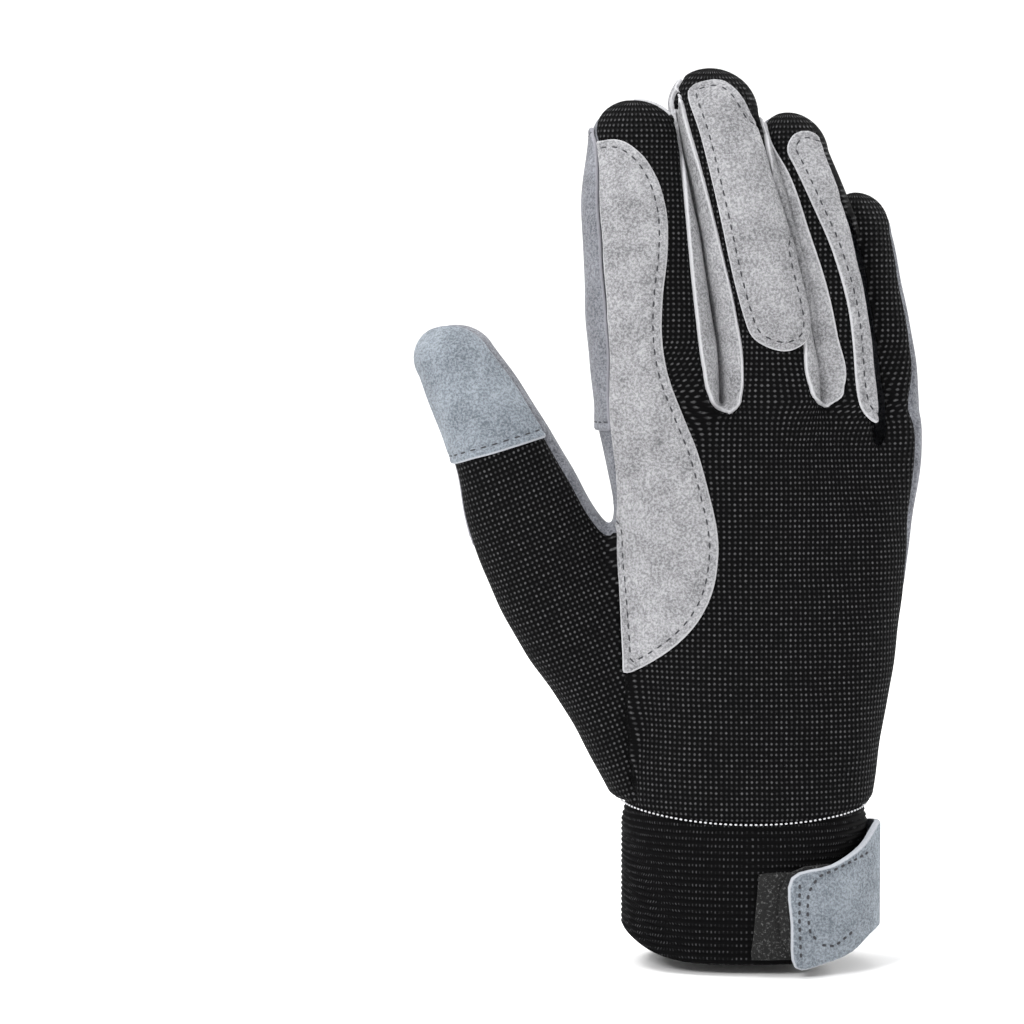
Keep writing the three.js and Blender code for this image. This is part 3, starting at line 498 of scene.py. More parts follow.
# Stitch lines on the strap that don't follow its outline
STRAP_ROWS = [
    table("x level", [[0.141, 0.57], [0.141, 0.3], [0.147, 0.04]]),
    table("x level", [[0.195, 0.595], [0.168, 0.5], [0.165, 0.37], [0.174, 0.234], [0.205, 0.154]]),
    table("x level", [[0.195, 0.6], [0.37, 0.74]]),
    table("x level", [[0.205, 0.15], [0.25, 0.134], [0.296, 0.2], [0.33, 0.26]]),
]

# Stitch lines on the palm that don't follow an outline
CROTCH_ROWS = table("x level", [
    [-0.415, 1.745], [-0.36, 1.735], [-0.31, 1.72], [-0.275, 1.69], [-0.262, 1.66],
    [-0.28, 1.615], [-0.33, 1.585], [-0.4, 1.575], [-0.45, 1.6],
])


# The glove's form, as a distance from its outer face

def value_at(rows, key, column, at):
    """The value of a column at a height, smooth through the rows of a table."""
    knots, values = rows[key], rows[column]
    slopes = np.gradient(values, knots)
    at = np.clip(at, knots[0], knots[-1])
    low = np.clip(np.searchsorted(knots, at) - 1, 0, len(knots) - 2)
    step = knots[low + 1] - knots[low]
    t = (at - knots[low]) / step
    return (
        (2 * t**3 - 3 * t**2 + 1) * values[low]
        + (t**3 - 2 * t**2 + t) * step * slopes[low]
        + (3 * t**2 - 2 * t**3) * values[low + 1]
        + (t**3 - t**2) * step * slopes[low + 1]
    )


def sized(rows, key, at, **sizes):
    """Columns of a table at a height, each times the size that it is a share of."""
    return {name: value_at(rows, key, name, at) * size for name, size in sizes.items()}


def height_at(level, finger_length=MIDDLE_LENGTH):
    """The height of a level: 0 to 1 is the cuff, 1 to 2 the palm and 2 to 3 a finger."""
    cuff = np.minimum(level, 1) * CUFF_HEIGHT
    palm = np.clip(np.asarray(level) - 1, 0, 1) * PALM_LENGTH
    return cuff + palm + np.maximum(np.asarray(level) - 2, 0) * finger_length


def level_of(z, finger_length=MIDDLE_LENGTH):
    """The level of a height."""
    in_cuff = z / CUFF_HEIGHT
    in_palm = 1 + (z - CUFF_HEIGHT) / PALM_LENGTH
    in_finger = 2 + (z - CUFF_HEIGHT - PALM_LENGTH) / finger_length
    return np.where(in_cuff < 1, in_cuff, np.where(in_palm < 2, in_palm, in_finger))


def smoothstep(value, low, high):
    """From 0 at low to 1 at high, level at both ends."""
    t = np.clip((value - low) / (high - low), 0, 1)
    return t * t * (3 - 2 * t)


def soft_min(a, b, reach):
    """The smaller of two distances, rounded where they are within reach of each other."""
    h = np.clip(0.5 + 0.5 * (b - a) / reach, 0, 1)
    return b + (a - b) * h - reach * h * (1 - h)


def soft_max(a, b, reach):
    """The larger of two distances, rounded in the same way."""
    return -soft_min(-a, -b, reach)


def turned(place, x, y):
    """Places across and through a section that is turned by its roll."""
    dx, dy = x - place["x"], y - place["y"]
    cos, sin = np.cos(place["roll"]), np.sin(place["roll"])
    return dx * cos + dy * sin, dx * sin - dy * cos


def section_distance(across, through, half_width, back, front, dome=0, dome_height=1):
    """About how far a point is from a tube with a rounded section, which ends in a dome."""
    half_depth = np.where(through > 0, back, front)
    u = np.abs(across) / half_width + 1e-6
    v = np.abs(through) / half_depth + 1e-6
    n = SQUARENESS
    power_u, power_v = u ** (n - 1), v ** (n - 1)
    round_size = (power_u * u + power_v * v) ** (1 / n)
    shrink = round_size ** (1 - n)
    slope = np.hypot(power_u * shrink / half_width, power_v * shrink / half_depth)
    size = np.hypot(round_size, dome) + 1e-6
    steepness = np.hypot(round_size / size * slope, dome / size / dome_height)
    return (size - 1) / steepness


def hand_place(z):
    """Middle, half width, depths and turn of the hand at a height."""
    place = sized(
        HAND_ROWS, "level", level_of(z), left=PALM_WIDTH, right=PALM_WIDTH,
        y=PALM_DEPTH, back=PALM_DEPTH, front=PALM_DEPTH, roll=RADIANS,
    )
    left, right = place.pop("left"), place.pop("right")
    return {**place, "x": (left + right) / 2, "half_width": (right - left) / 2}


def hand_distance(x, y, z):
    """About how far a point is from the hand without its fingers."""
    place = hand_place(z)
    across, through = turned(place, x, y)
    root = height_at(2) - HAND_DOME
    dome = np.maximum(z - root, 0) / HAND_DOME
    return section_distance(
        across, through, place["half_width"], place["back"], place["front"], dome, HAND_DOME
    )


def finger_place(finger, z):
    """Middle, half sizes and turn of a finger at a height, and how far it is into its dome."""
    rows, length = finger["rows"], finger["length"]
    start = height_at(rows["level"][-1], length)
    dome_height = height_at(3, length) - start
    rise = np.maximum(z - start, 0) / dome_height
    place = sized(
        rows, "level", level_of(z, length), x=PALM_WIDTH, y=PALM_DEPTH,
        half_width=FINGER_WIDTH, half_depth=FINGER_DEPTH, roll=RADIANS,
    )
    place["x"] = place["x"] + rise * (finger["tip"]["x"] - rows["x"][-1]) * PALM_WIDTH
    place["y"] = place["y"] + rise * (finger["tip"]["y"] - rows["y"][-1]) * PALM_DEPTH
    foot = height_at(rows["level"][0], length)
    return {**place, "dome": rise, "dome_height": dome_height, "foot": foot}


def finger_distance(finger, x, y, z):
    """About how far a point is from a finger, whose foot is sunk into the hand."""
    place = finger_place(finger, z)
    across, through = turned(place, x, y)
    depth, foot = place["half_depth"], place["foot"]
    tube = section_distance(
        across, through, place["half_width"], depth, depth, place["dome"], place["dome_height"]
    )
    sunk = FOOT_SUNK * (1 - smoothstep(z, foot, foot + FOOT_FADE))
    return np.maximum(tube + sunk, foot - z)


def thumb_axes(x, z):
    """Places along and across the thumb, which leans outwards."""
    lean = math.radians(THUMB_LEAN)
    along = z * math.cos(lean) - x * math.sin(lean)
    across = x * math.cos(lean) + z * math.sin(lean)
    return along, across


def thumb_line(rows):
    """The thumb's rows by their place along it, with its middle line across it."""
    x = THUMB_ROOT["x"] * PALM_WIDTH + rows["x"] * THUMB_REACH
    z = THUMB_ROOT["z"] * CUFF_HEIGHT + rows["z"] * THUMB_RISE
    along, across = thumb_axes(x, z)
    return {**rows, "along": along, "middle": across}


THUMB_LINE = thumb_line(THUMB_ROWS)
THUMB_END = thumb_line(THUMB_TIP)


def thumb_place(x, z):
    """Place, half sizes and rise into the dome of the thumb at a point seen from the front."""
    along, across = thumb_axes(x, z)
    start = THUMB_LINE["along"][-1]
    dome_height = THUMB_END["along"] - start
    rise = np.maximum(along - start, 0) / dome_height
    place = sized(
        THUMB_LINE, "along", along, middle=1, y=PALM_DEPTH,
        half_width=THUMB_WIDTH, half_depth=THUMB_DEPTH,
    )
    middle = place.pop("middle") + rise * (THUMB_END["middle"] - THUMB_LINE["middle"][-1])
    place["y"] = place["y"] + rise * (THUMB_TIP["y"] - THUMB_ROWS["y"][-1]) * PALM_DEPTH
    return {
        **place, "along": along, "across": across - middle,
        "dome": rise, "dome_height": dome_height,
    }


def thumb_distance(x, y, z):
    """About how far a point is from the thumb."""
    place = thumb_place(x, z)
    depth = place["half_depth"]
    tube = section_distance(
        place["across"], place["y"] - y, place["half_width"], depth, depth,
        place["dome"], place["dome_height"],
    )
    return np.maximum(tube, THUMB_LINE["along"][0] - place["along"])


def gap_line(line, z, y):
    """The x of the middle line between two fingers at a height and depth."""
    ends = sized(line["rows"], "level", level_of(z), back=PALM_WIDTH, front=PALM_WIDTH)
    share = (y / (GAP_REACH * PALM_DEPTH) + 1) / 2
    return ends["back"] + (ends["front"] - ends["back"]) * share


def path_distance(points, x, z):
    """How far places are from a path in the XZ plane."""
    nearest = np.full(np.broadcast(x, z).shape, FAR_AWAY)
    for (x0, z0), (x1, z1) in zip(points[:-1], points[1:]):
        dx, dz = x1 - x0, z1 - z0
        share = np.clip(((x - x0) * dx + (z - z0) * dz) / (dx * dx + dz * dz), 0, 1)
        nearest = np.minimum(nearest, np.hypot(x - x0 - share * dx, z - z0 - share * dz))
    return nearest


def fold_push(x, z):
    """How far the palm's folds push it inwards."""
    push = np.zeros(np.broadcast(x, z).shape)
    for fold in FOLDS:
        rows = fold["points"]
        points = list(zip(rows["x"] * PALM_WIDTH, height_at(rows["level"])))
        distance = path_distance(points, x, z) / (fold["width"] * PALM_WIDTH)
        push = np.maximum(push, fold["depth"] * FOLD_DEPTH * np.exp(-(distance**2)))
    return push


def wrinkle(x, y, z):
    """Shallow uneven waves, as in cloth that has been worn. A wave is 2 pi of its divisor long."""
    waves = np.sin(x / 7.1 + z / 13.0) * np.sin(z / 8.3 - x / 17.0 + y / 9.0)
    finer = np.sin(x / 3.9 - z / 5.7 + y / 6.0) * np.sin(z / 4.4 + x / 8.0)
    return WRINKLE_DEPTH * (waves + FINER_WRINKLES * finer)


def between_levels(z, levels):
    """From 0 to 1 between the heights of two levels."""
    return smoothstep(z, height_at(levels[0]), height_at(levels[1]))


def finger_slit(line, x, y, z):
    """The distance from the slit between two fingers."""
    tips = [height_at(3, FINGERS[name]["length"]) for name in line["between"]]
    beside = np.abs(x - gap_line(line, z, y)) * SLIT_SLANT - FINGER_SLIT / 2
    ends = np.maximum(height_at(line["low"]) - z, z - min(tips) + SLIT_TOP)
    return soft_max(beside, ends, FINGER_SLIT)


def glove_distance(x, y, z):
    """About how far a point is from the glove's outer face, negative inside."""
    higher = between_levels(z, BETWEEN_FINGERS_LEVELS)
    joined = BETWEEN_FINGERS_LOW + (BETWEEN_FINGERS_HIGH - BETWEEN_FINGERS_LOW) * higher
    first, *others = FINGERS.values()
    fingers = finger_distance(first, x, y, z)
    for finger in others:
        fingers = soft_min(fingers, finger_distance(finger, x, y, z), joined)
    whole = soft_min(hand_distance(x, y, z), fingers, FINGER_ROOT_ROUNDING)
    at_thumb = between_levels(z, THUMB_ROOT_LEVELS)
    thumb_rounding = THUMB_ROOT_LEAST + THUMB_ROOT_ROUNDING * at_thumb
    whole = soft_min(whole, thumb_distance(x, y, z), thumb_rounding)
    for line in FINGER_GAPS:
        whole = soft_max(whole, -finger_slit(line, x, y, z), SLIT_ROUNDING)
    return whole + fold_push(x, z) * smoothstep(y, *FOLD_FADE) + wrinkle(x, y, z)


# Surfaces from the distance


def slope_of(function, points, step=0.1):
    """The gradient of a function of x, y and z at an array of points."""
    slope = np.empty_like(points)
    for axis in range(3):
        ahead, behind = points.copy(), points.copy()
        ahead[:, axis] += step
        behind[:, axis] -= step
        slope[:, axis] = (function(*ahead.T) - function(*behind.T)) / (2 * step)
    return slope


def surface_net(function, lines):
    """The zero surface of a function as four-sided faces, from a grid with the given lines."""
    xs, ys, zs = lines
    grid = function(xs[:, None, None], ys[None, :, None], zs[None, None, :])
    inside = grid < 0
    corners = [(i, j, k) for i in (0, 1) for j in (0, 1) for k in (0, 1)]
    nx, ny, nz = (len(line) - 1 for line in lines)
    count = sum(inside[i : i + nx, j : j + ny, k : k + nz].astype(np.int8) for i, j, k in corners)
    cells = np.argwhere((count > 0) & (count < 8))
    number = np.full((nx, ny, nz), -1, np.int64)
    number[tuple(cells.T)] = np.arange(len(cells))
    total = np.zeros((len(cells), 3))
    hits = np.zeros(len(cells))
    for a in corners:
        for axis in range(3):
            if a[axis]:
                continue
            b = tuple(1 if i == axis else value for i, value in enumerate(a))
            at_a, at_b = cells + a, cells + b
            value_a, value_b = grid[tuple(at_a.T)], grid[tuple(at_b.T)]
            crossed = (value_a < 0) != (value_b < 0)
            share = np.where(crossed, value_a / np.where(crossed, value_a - value_b, 1), 0)
            place = np.stack([line[index] for line, index in zip(lines, at_a.T)], 1)
            far = np.stack([line[index] for line, index in zip(lines, at_b.T)], 1)
            total += np.where(crossed[:, None], place + share[:, None] * (far - place), 0)
            hits += crossed
    points = total / hits[:, None]
    faces = []
    for axis in range(3):
        low = [slice(None)] * 3
        high = [slice(None)] * 3
        low[axis], high[axis] = slice(0, -1), slice(1, None)
        change = inside[tuple(low)] != inside[tuple(high)]
        edges = np.argwhere(change)
        second, third = (axis + 1) % 3, (axis + 2) % 3
        shape = np.array((nx, ny, nz))
        fits = (edges[:, second] > 0) & (edges[:, third] > 0)
        fits &= (edges[:, second] < shape[second]) & (edges[:, third] < shape[third])
        edges = edges[fits]
        outward = inside[tuple(edges.T)]
        around = []
        for back_second, back_third in ((1, 1), (0, 1), (0, 0), (1, 0)):
            cell = edges.copy()
            cell[:, second] -= back_second
            cell[:, third] -= back_third
            around.append(number[tuple(cell.T)])
        quads = np.stack(around, 1)
        quads[~outward] = quads[~outward][:, ::-1]
        faces.append(quads)
    return points, np.concatenate(faces)


def relax(points, quads, function, rounds):
    """Evens out the points of a surface and sets them on the function's zero surface."""
    edges = np.concatenate([quads[:, [i, (i + 1) % 4]] for i in range(4)])
    links = np.concatenate([edges, edges[:, ::-1]])
    weight = np.bincount(links[:, 0], minlength=len(points))
    for _ in range(rounds):
        middle = np.stack(
            [
                np.bincount(links[:, 0], points[links[:, 1], axis], len(points)) / weight
                for axis in range(3)
            ],
            1,
        )
        points = (points + middle) / 2
        for _ in range(2):
            slope = slope_of(function, points)
            size = np.maximum((slope**2).sum(1), 0.2)
            step = np.clip(function(*points.T) / size, -1, 1)
            points = points - step[:, None] * slope
    return points


def triangles_of(points, quads):
    """Each four-sided face as two triangles, split along its shorter diagonal."""
    first = np.linalg.norm(points[quads[:, 0]] - points[quads[:, 2]], axis=1)
    second = np.linalg.norm(points[quads[:, 1]] - points[quads[:, 3]], axis=1)
    short = first <= second
    one, two = quads[short], quads[~short]
    return np.concatenate(
        [one[:, [0, 1, 2]], one[:, [0, 2, 3]], two[:, [0, 1, 3]], two[:, [1, 2, 3]]]
    )


# Seams, outlines, cuts and layers

def seam_depth(x, z):
    """The depth of the seam between the back and the palm at a place seen from the front."""
    level = level_of(z)
    split = value_at(THUMB_SEAM, "level", "x", level) * PALM_WIDTH
    little_edge = smoothstep(x, *(share * PALM_WIDTH for share in LITTLE_SIDE))
    index_edge = smoothstep(-x, *(share * PALM_WIDTH for share in INDEX_SIDE))
    offset = value_at(LITTLE_SEAM_ROWS, "level", "offset", level) * little_edge
    offset = offset + value_at(INDEX_SEAM_ROWS, "level", "offset", level) * index_edge
    hand = hand_place(z)
    in_hand = hand["y"] + np.tan(hand["roll"]) * (x - hand["x"])
    anchors_x, anchors_y = [], []
    for finger in FINGERS.values():
        place = finger_place(finger, z)
        tip_shift = TIP_SEAM_SHIFT * PALM_DEPTH * smoothstep(place["dome"], TIP_SEAM_START, 1)
        anchors_x.append(place["x"])
        anchors_y.append(place["y"] + tip_shift)
    in_fingers = anchors_y[0]
    for i in range(1, len(anchors_x)):
        share = np.clip((x - anchors_x[i - 1]) / (anchors_x[i] - anchors_x[i - 1]), 0, 1)
        in_fingers = in_fingers + share * (anchors_y[i] - anchors_y[i - 1])
    blend = smoothstep(level, *FINGER_SEAM_LEVELS)
    side = in_hand + (in_fingers - in_hand) * blend + offset * PALM_DEPTH
    thumb = thumb_place(x, z)
    share = (np.clip(thumb["across"] / thumb["half_width"], -1, 1) + 1) / 2
    outside, inside = THUMB_SEAM_SHIFT["outside"], THUMB_SEAM_SHIFT["inside"]
    on_thumb = thumb["y"] + (outside + share * (inside - outside)) * PALM_DEPTH
    return np.where(x < split, on_thumb, side)


def outline_distance(rows, x, z, finger_length=MIDDLE_LENGTH):
    """The distance from a closed outline in the XZ plane, negative inside."""
    corners = np.stack([rows["x"] * PALM_WIDTH, height_at(rows["level"], finger_length)], 1)
    points = closed_curve(corners, OUTLINE_STEPS)
    nearest = path_distance([*points, points[0]], x, z)
    inside = np.zeros(len(x), bool)
    for (x0, z0), (x1, z1) in zip(points, np.roll(points, -1, 0)):
        spans = (z0 > z) != (z1 > z)
        rise = z1 - z0 if z1 != z0 else 1
        inside ^= spans & (x < x0 + (z - z0) * (x1 - x0) / rise)
    return np.where(inside, -nearest, nearest)


def closed_curve(corners, steps):
    """Points on a smooth closed curve through the corners."""
    before, after = np.roll(corners, 1, 0), np.roll(corners, -1, 0)
    after_next = np.roll(corners, -2, 0)
    curve = []
    for t in np.arange(steps) / steps:
        curve.append(
            0.5
            * (
                2 * corners
                + (after - before) * t
                + (2 * before - 5 * corners + 4 * after - after_next) * t**2
                + (3 * corners - before - 3 * after + after_next) * t**3
            )
        )
    return np.stack(curve, 1).reshape(-1, 2)


def off_zero(values, least):
    """The values, with none of them on the zero line itself."""
    return np.where(np.abs(values) < least, least, values)


def crossings(faces, values):
    """The triangles that the zero line of values crosses, and where it crosses their sides.

    Of each triangle's corners a, b and c, a is alone on its side of the line. The line crosses
    ab and ac, each between a low and a high point and at a share of the way.
    """
    below = values < 0
    count = below[faces].sum(1)
    mixed = faces[(count == 1) | (count == 2)]
    a_is_below = below[mixed].sum(1) == 1
    alone = (below[mixed] == a_is_below[:, None]).argmax(1)
    rows = np.arange(len(mixed))
    a, b, c = (mixed[rows, (alone + i) % 3] for i in range(3))
    pairs = np.sort(np.concatenate([np.stack([a, b], 1), np.stack([a, c], 1)]), 1)
    total = len(values)
    keys, index = np.unique(pairs[:, 0] * total + pairs[:, 1], return_inverse=True)
    low, high = keys // total, keys % total
    share = values[low] / (values[low] - values[high])
    return {
        "corners": (a, b, c), "a_is_below": a_is_below, "count": count,
        "low": low, "high": high, "share": share, "on_sides": np.split(index, 2),
    }


def cut(surface, values):
    """A surface's parts where values are below and above zero, and both with the new edges."""
    values = off_zero(values, NEAR_CUT)
    faces = surface["faces"]
    line = crossings(faces, values)
    low, high, share = line["low"], line["high"], line["share"]
    data = {}
    for name, column in surface["data"].items():
        weight = share if column.ndim == 1 else share[:, None]
        added = column[low] + weight * (column[high] - column[low])
        data[name] = np.concatenate([column, added])
    a, b, c = line["corners"]
    on_ab, on_ac = (len(values) + index for index in line["on_sides"])
    tips = np.stack([a, on_ab, on_ac], 1)
    rests = np.concatenate([np.stack([on_ab, b, c], 1), np.stack([on_ab, c, on_ac], 1)])
    tip_below = line["a_is_below"]
    rest_above = np.concatenate([tip_below, tip_below])
    lower = np.concatenate([faces[line["count"] == 3], tips[tip_below], rests[~rest_above]])
    upper = np.concatenate([faces[line["count"] == 0], tips[~tip_below], rests[rest_above]])
    both = {"faces": np.concatenate([lower, upper]), "data": data}
    return used_part(lower, data), used_part(upper, data), both


def used_part(faces, data):
    """A surface of some faces, with only the points that they use."""
    used, index = np.unique(faces, return_inverse=True)
    return {
        "faces": index.reshape(-1, 3),
        "data": {name: column[used] for name, column in data.items()},
    }


def with_lines(surface, name, levels):
    """The surface with edges added along level lines of one of its columns."""
    for level in levels:
        values = surface["data"][name] - level
        if values.min() < 0 < values.max():
            surface = cut(surface, values)[2]
    return surface


def open_edges(faces):
    """The directed edges on the border of a surface."""
    edges = np.concatenate([faces[:, [i, (i + 1) % 3]] for i in range(3)])
    total = faces.max() + 1
    keys = edges[:, 0] * total + edges[:, 1]
    opposite = edges[:, 1] * total + edges[:, 0]
    return edges[~np.isin(keys, opposite)]


def tree_of(points):
    """A search tree of points."""
    tree = KDTree(len(points))
    for i, point in enumerate(points):
        tree.insert(point, i)
    tree.balance()
    return tree


def border_distance(surface, keep=None):
    """Each point's distance from the surface's border, or from the part of it to keep."""
    co = surface["data"]["co"]
    edges = open_edges(surface["faces"])
    if keep is not None:
        edges = edges[keep[edges[:, 0]] & keep[edges[:, 1]]]
    start, end = co[edges[:, 0]], co[edges[:, 1]]
    tree = tree_of(np.concatenate([start, (start + end) / 2]))
    return np.array([tree.find(point)[2] for point in co])


def outer_face(data):
    """The points of a surface raised to its outer face."""
    raised = np.broadcast_to(data["outer"], len(data["co"]))
    return data["co"] + data["normal"] * raised[:, None]


def thick(surface, outer, inner):
    """A closed solid from a surface, between two distances along its normals."""
    co, normal = surface["data"]["co"], surface["data"]["normal"]
    faces = surface["faces"]
    count = len(co)
    top = co + normal * np.broadcast_to(outer, count)[:, None]
    bottom = co + normal * np.broadcast_to(inner, count)[:, None]
    edges = open_edges(faces)
    i, j = edges.T
    rim = np.concatenate([np.stack([j, i, i + count], 1), np.stack([j, i + count, j + count], 1)])
    return np.concatenate([top, bottom]), np.concatenate([faces, faces[:, ::-1] + count, rim])


def cuff_top(x, y):
    """The height of the cuff's upper edge, level on the palm's side and dipping on the back."""
    across = np.clip(2 * x / WRIST_WIDTH, -1, 1)
    back = smoothstep(-y, 0, WRIST_DEPTH / 4)
    return CUFF_HEIGHT + SEAM_RISE - SEAM_DIP * back * (1 - across**2)


def knit_arc(across, through, half_width, half_depth):
    """The length round a section from the middle of its back."""
    angle = np.arctan2(across / half_width, through / half_depth)
    total = 0
    for i in range(ARC_STEPS):
        t = angle * (i + 0.5) / ARC_STEPS
        total = total + np.hypot(half_width * np.cos(t), half_depth * np.sin(t))
    return total * angle / ARC_STEPS


def knit_place(points):
    """Places on the cloth, across and along, that the knit follows."""
    x, y, z = points.T
    hand = hand_place(z)
    across = hand["x"] + knit_arc(x - hand["x"], hand["y"] - y, hand["half_width"], hand["back"])
    which = sum((x > gap_line(line, z, y)).astype(int) for line in FINGER_GAPS)
    in_fingers = np.zeros(len(x))
    for number, finger in enumerate(FINGERS.values()):
        place = finger_place(finger, z)
        arc = knit_arc(x - place["x"], place["y"] - y, place["half_width"], place["half_depth"])
        in_fingers = np.where(which == number, place["x"] + arc, in_fingers)
    across = across + (in_fingers - across) * between_levels(z, KNIT_FINGER_LEVELS)
    thumb = thumb_place(x, z)
    arc = knit_arc(thumb["across"], thumb["y"] - y, thumb["half_width"], thumb["half_depth"])
    on_thumb = thumb_side(x, z) < 0
    return np.stack(
        [np.where(on_thumb, arc, across), np.where(on_thumb, thumb["along"], z)], 1
    )


def thumb_side(x, z):
    """The distance right of the line between the thumb and the rest of the hand."""
    return x - value_at(THUMB_SEAM, "level", "x", level_of(z)) * PALM_WIDTH


def past_the_side(place, y):
    """How far round the side of a finger a depth is, from 0 on its back to 1 on its side."""
    before = STRIP_TURN * place["half_depth"]
    return np.clip((y - place["y"] + before) / before, 0, 1)


def strip_distance(line, x, y, z, seam):
    """The distance from the strip between two fingers, negative inside."""
    rows = line["strip"]
    edges = sized(rows, "level", level_of(z), left=PALM_WIDTH, right=PALM_WIDTH)
    left, right = edges["left"], edges["right"]
    first, second = (finger_place(FINGERS[name], z) for name in line["between"])
    left = left + (np.minimum(left, first["x"]) - left) * past_the_side(first, y)
    right = right + (np.maximum(right, second["x"]) - right) * past_the_side(second, y)
    low, high = height_at(rows["level"][0]), height_at(rows["level"][-1])
    sides = np.maximum(left - x, x - right)
    ends = np.maximum(low - z, z - high)
    near_top = smoothstep(z, high - STRIP_FADE[0], high - STRIP_FADE[1])
    front = STRIP_FRONT * PALM_DEPTH * (1 - near_top) - near_top
    return np.maximum(np.maximum(sides, ends), seam - front)


def axis_steps(spans):
    """Grid lines along an axis from spans that follow each other."""
    lines = [np.arange(start, end, NET_STEP * share) for start, end, share in spans]
    return np.concatenate([*lines, [spans[-1][1]]])


def whole_surface():
    """The glove above the cuff as one skin, with the columns that the panels are cut by."""
    lines = [axis_steps(spans) for spans in NET_SPANS]
    points, quads = surface_net(glove_distance, lines)
    points = relax(points, quads, glove_distance, RELAX_ROUNDS)
    slope = slope_of(glove_distance, points)
    x, y, z = points.T
    data = {
        "co": points,
        "normal": slope / np.linalg.norm(slope, axis=1)[:, None],
        "seam": y - seam_depth(x, z),
        "thumb": thumb_side(x, z),
        "knit": knit_place(points),
    }
    for line in FINGER_GAPS:
        data[line["name"]] = x - gap_line(line, z, y)
    surface = {"faces": triangles_of(points, quads), "data": data}
    return cut(surface, cuff_top(x, y) - z)[0]


def rounded(distance, radius):
    """The height of a rounded edge at a distance from the border, from 0 to 1."""
    t = np.clip(distance / radius, 0, 1)
    return np.sqrt(np.maximum(1 - (1 - t) ** 2, 0))


def edge_height(edge, style):
    """The share of a layer's thickness at a distance from its rounded border."""
    return style["height"] + (1 - style["height"]) * rounded(edge, style["rounding"])


def panel(node, surface, slot, raised=0.0):
    """A base panel with its border drawn into the seam, or a little raised."""
    surface["data"]["edge"] = border_distance(surface)
    surface = with_lines(surface, "edge", SEAM_LINES)
    data = surface["data"]
    edge = data["edge"]
    if raised:
        outer = raised * edge_height(edge, STRIP_EDGE)
        data["edge"] = np.where(data["seam"] > STRIP_PALM_SIDE, NO_CUT_EDGE, edge)
    else:
        outer = -SEAM_DEPTH * np.exp(-((edge / SEAM_REACH) ** 2))
        data["edge"] = np.full(len(edge), NO_CUT_EDGE)
    points, faces = thick(surface, outer, -CLOTH_WALL)
    add_piece(f"{node}_cloth", points, faces, slot, data, [node])


def overlay(node, surface, values, slot, stitched):
    """A layer sewn on, with its stitch line pulled in. stitched says which border is sewn."""
    part = largest_part(cut(surface, values)[0])
    border = stitched(part["data"])
    part["data"]["edge"] = border_distance(part)
    part["data"]["sewn"] = border_distance(part, border)
    part = with_lines(part, "edge", OVERLAY_EDGE["lines"])
    part = with_lines(part, "sewn", STITCH_LINES)
    data = part["data"]
    height = edge_height(data["edge"], OVERLAY_EDGE)
    pulled = STITCH_PULL * np.exp(-(((data["sewn"] - STITCH_INSET) / STITCH_GROOVE) ** 2))
    data["outer"] = OVERLAY_THICKNESS * height - pulled + OVERLAY_BASE
    points, faces = thick(part, data["outer"], OVERLAY_UNDERSIDE)
    add_piece(f"{node}_layer", points, faces, slot, data, [node])
    return part


def largest_part(surface):
    """The largest connected part of a surface."""
    faces = surface["faces"]
    label = np.arange(faces.max() + 1)
    while True:
        lowest = label[faces].min(1)
        before = label.copy()
        for i in range(3):
            np.minimum.at(label, faces[:, i], lowest)
        label = label[label]
        if (before == label).all():
            break
    groups, count = np.unique(label[faces[:, 0]], return_counts=True)
    return used_part(faces[label[faces[:, 0]] == groups[count.argmax()]], surface["data"])


# Pieces, stitches and the cuff

def add_piece(name, points, faces, slot, data=None, nodes=(), thread=None, smooth_angle=50):
    """A mesh object of the glove, in metres, of its slot's material or of a thread."""
    mesh = bpy.data.meshes.new(name)
    mesh.from_pydata((points * MM).tolist(), [], faces.tolist())
    mesh.polygons.foreach_set("use_smooth", np.ones(len(faces), bool))
    if data is not None:
        repeat = len(points) // len(data["co"])
        if "knit" in data:
            corner = np.empty(len(mesh.loops), np.int32)
            mesh.loops.foreach_get("vertex_index", corner)
            places = np.tile(data["knit"], (repeat, 1))[corner] * MM
            mesh.uv_layers.new(name="cloth").data.foreach_set("uv", places.ravel())
        for key in ("edge", "sewn"):
            if key in data:
                values = np.tile(data[key], repeat).astype(np.float32)
                mesh.attributes.new(key, "FLOAT", "POINT").data.foreach_set("value", values)
    mesh.set_sharp_from_angle(angle=math.radians(smooth_angle))
    mesh.materials.append(MATERIALS[thread or slot])
    piece = bpy.data.objects.new(name, mesh)
    bpy.context.scene.collection.objects.link(piece)
    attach(piece, "root")
    if nodes:
        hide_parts(*nodes)


def level_paths(surface, name, level):
    """The level line of a column, as ordered points on the outer face with their normals."""
    data = surface["data"]
    values = off_zero(data[name] - level, NEAR_PATH)
    line = crossings(surface["faces"], values)
    low, high, share = line["low"], line["high"], line["share"][:, None]
    raised = outer_face(data)
    places = raised[low] + share * (raised[high] - raised[low])
    normals = data["normal"][low] + share * (data["normal"][high] - data["normal"][low])
    links = {}
    for start, end in zip(*(index.tolist() for index in line["on_sides"])):
        links.setdefault(start, []).append(end)
        links.setdefault(end, []).append(start)
    paths, seen = [], set()
    for start in sorted(links, key=lambda point: len(links[point])):
        if start in seen:
            continue
        path = [start]
        seen.add(start)
        while True:
            following = [other for other in links[path[-1]] if other not in seen]
            if not following:
                break
            path.append(following[0])
            seen.add(following[0])
        if len(path) > 3:
            if path[0] in links[path[-1]]:
                path.append(path[0])
            paths.append((places[path], normals[path]))
    return paths


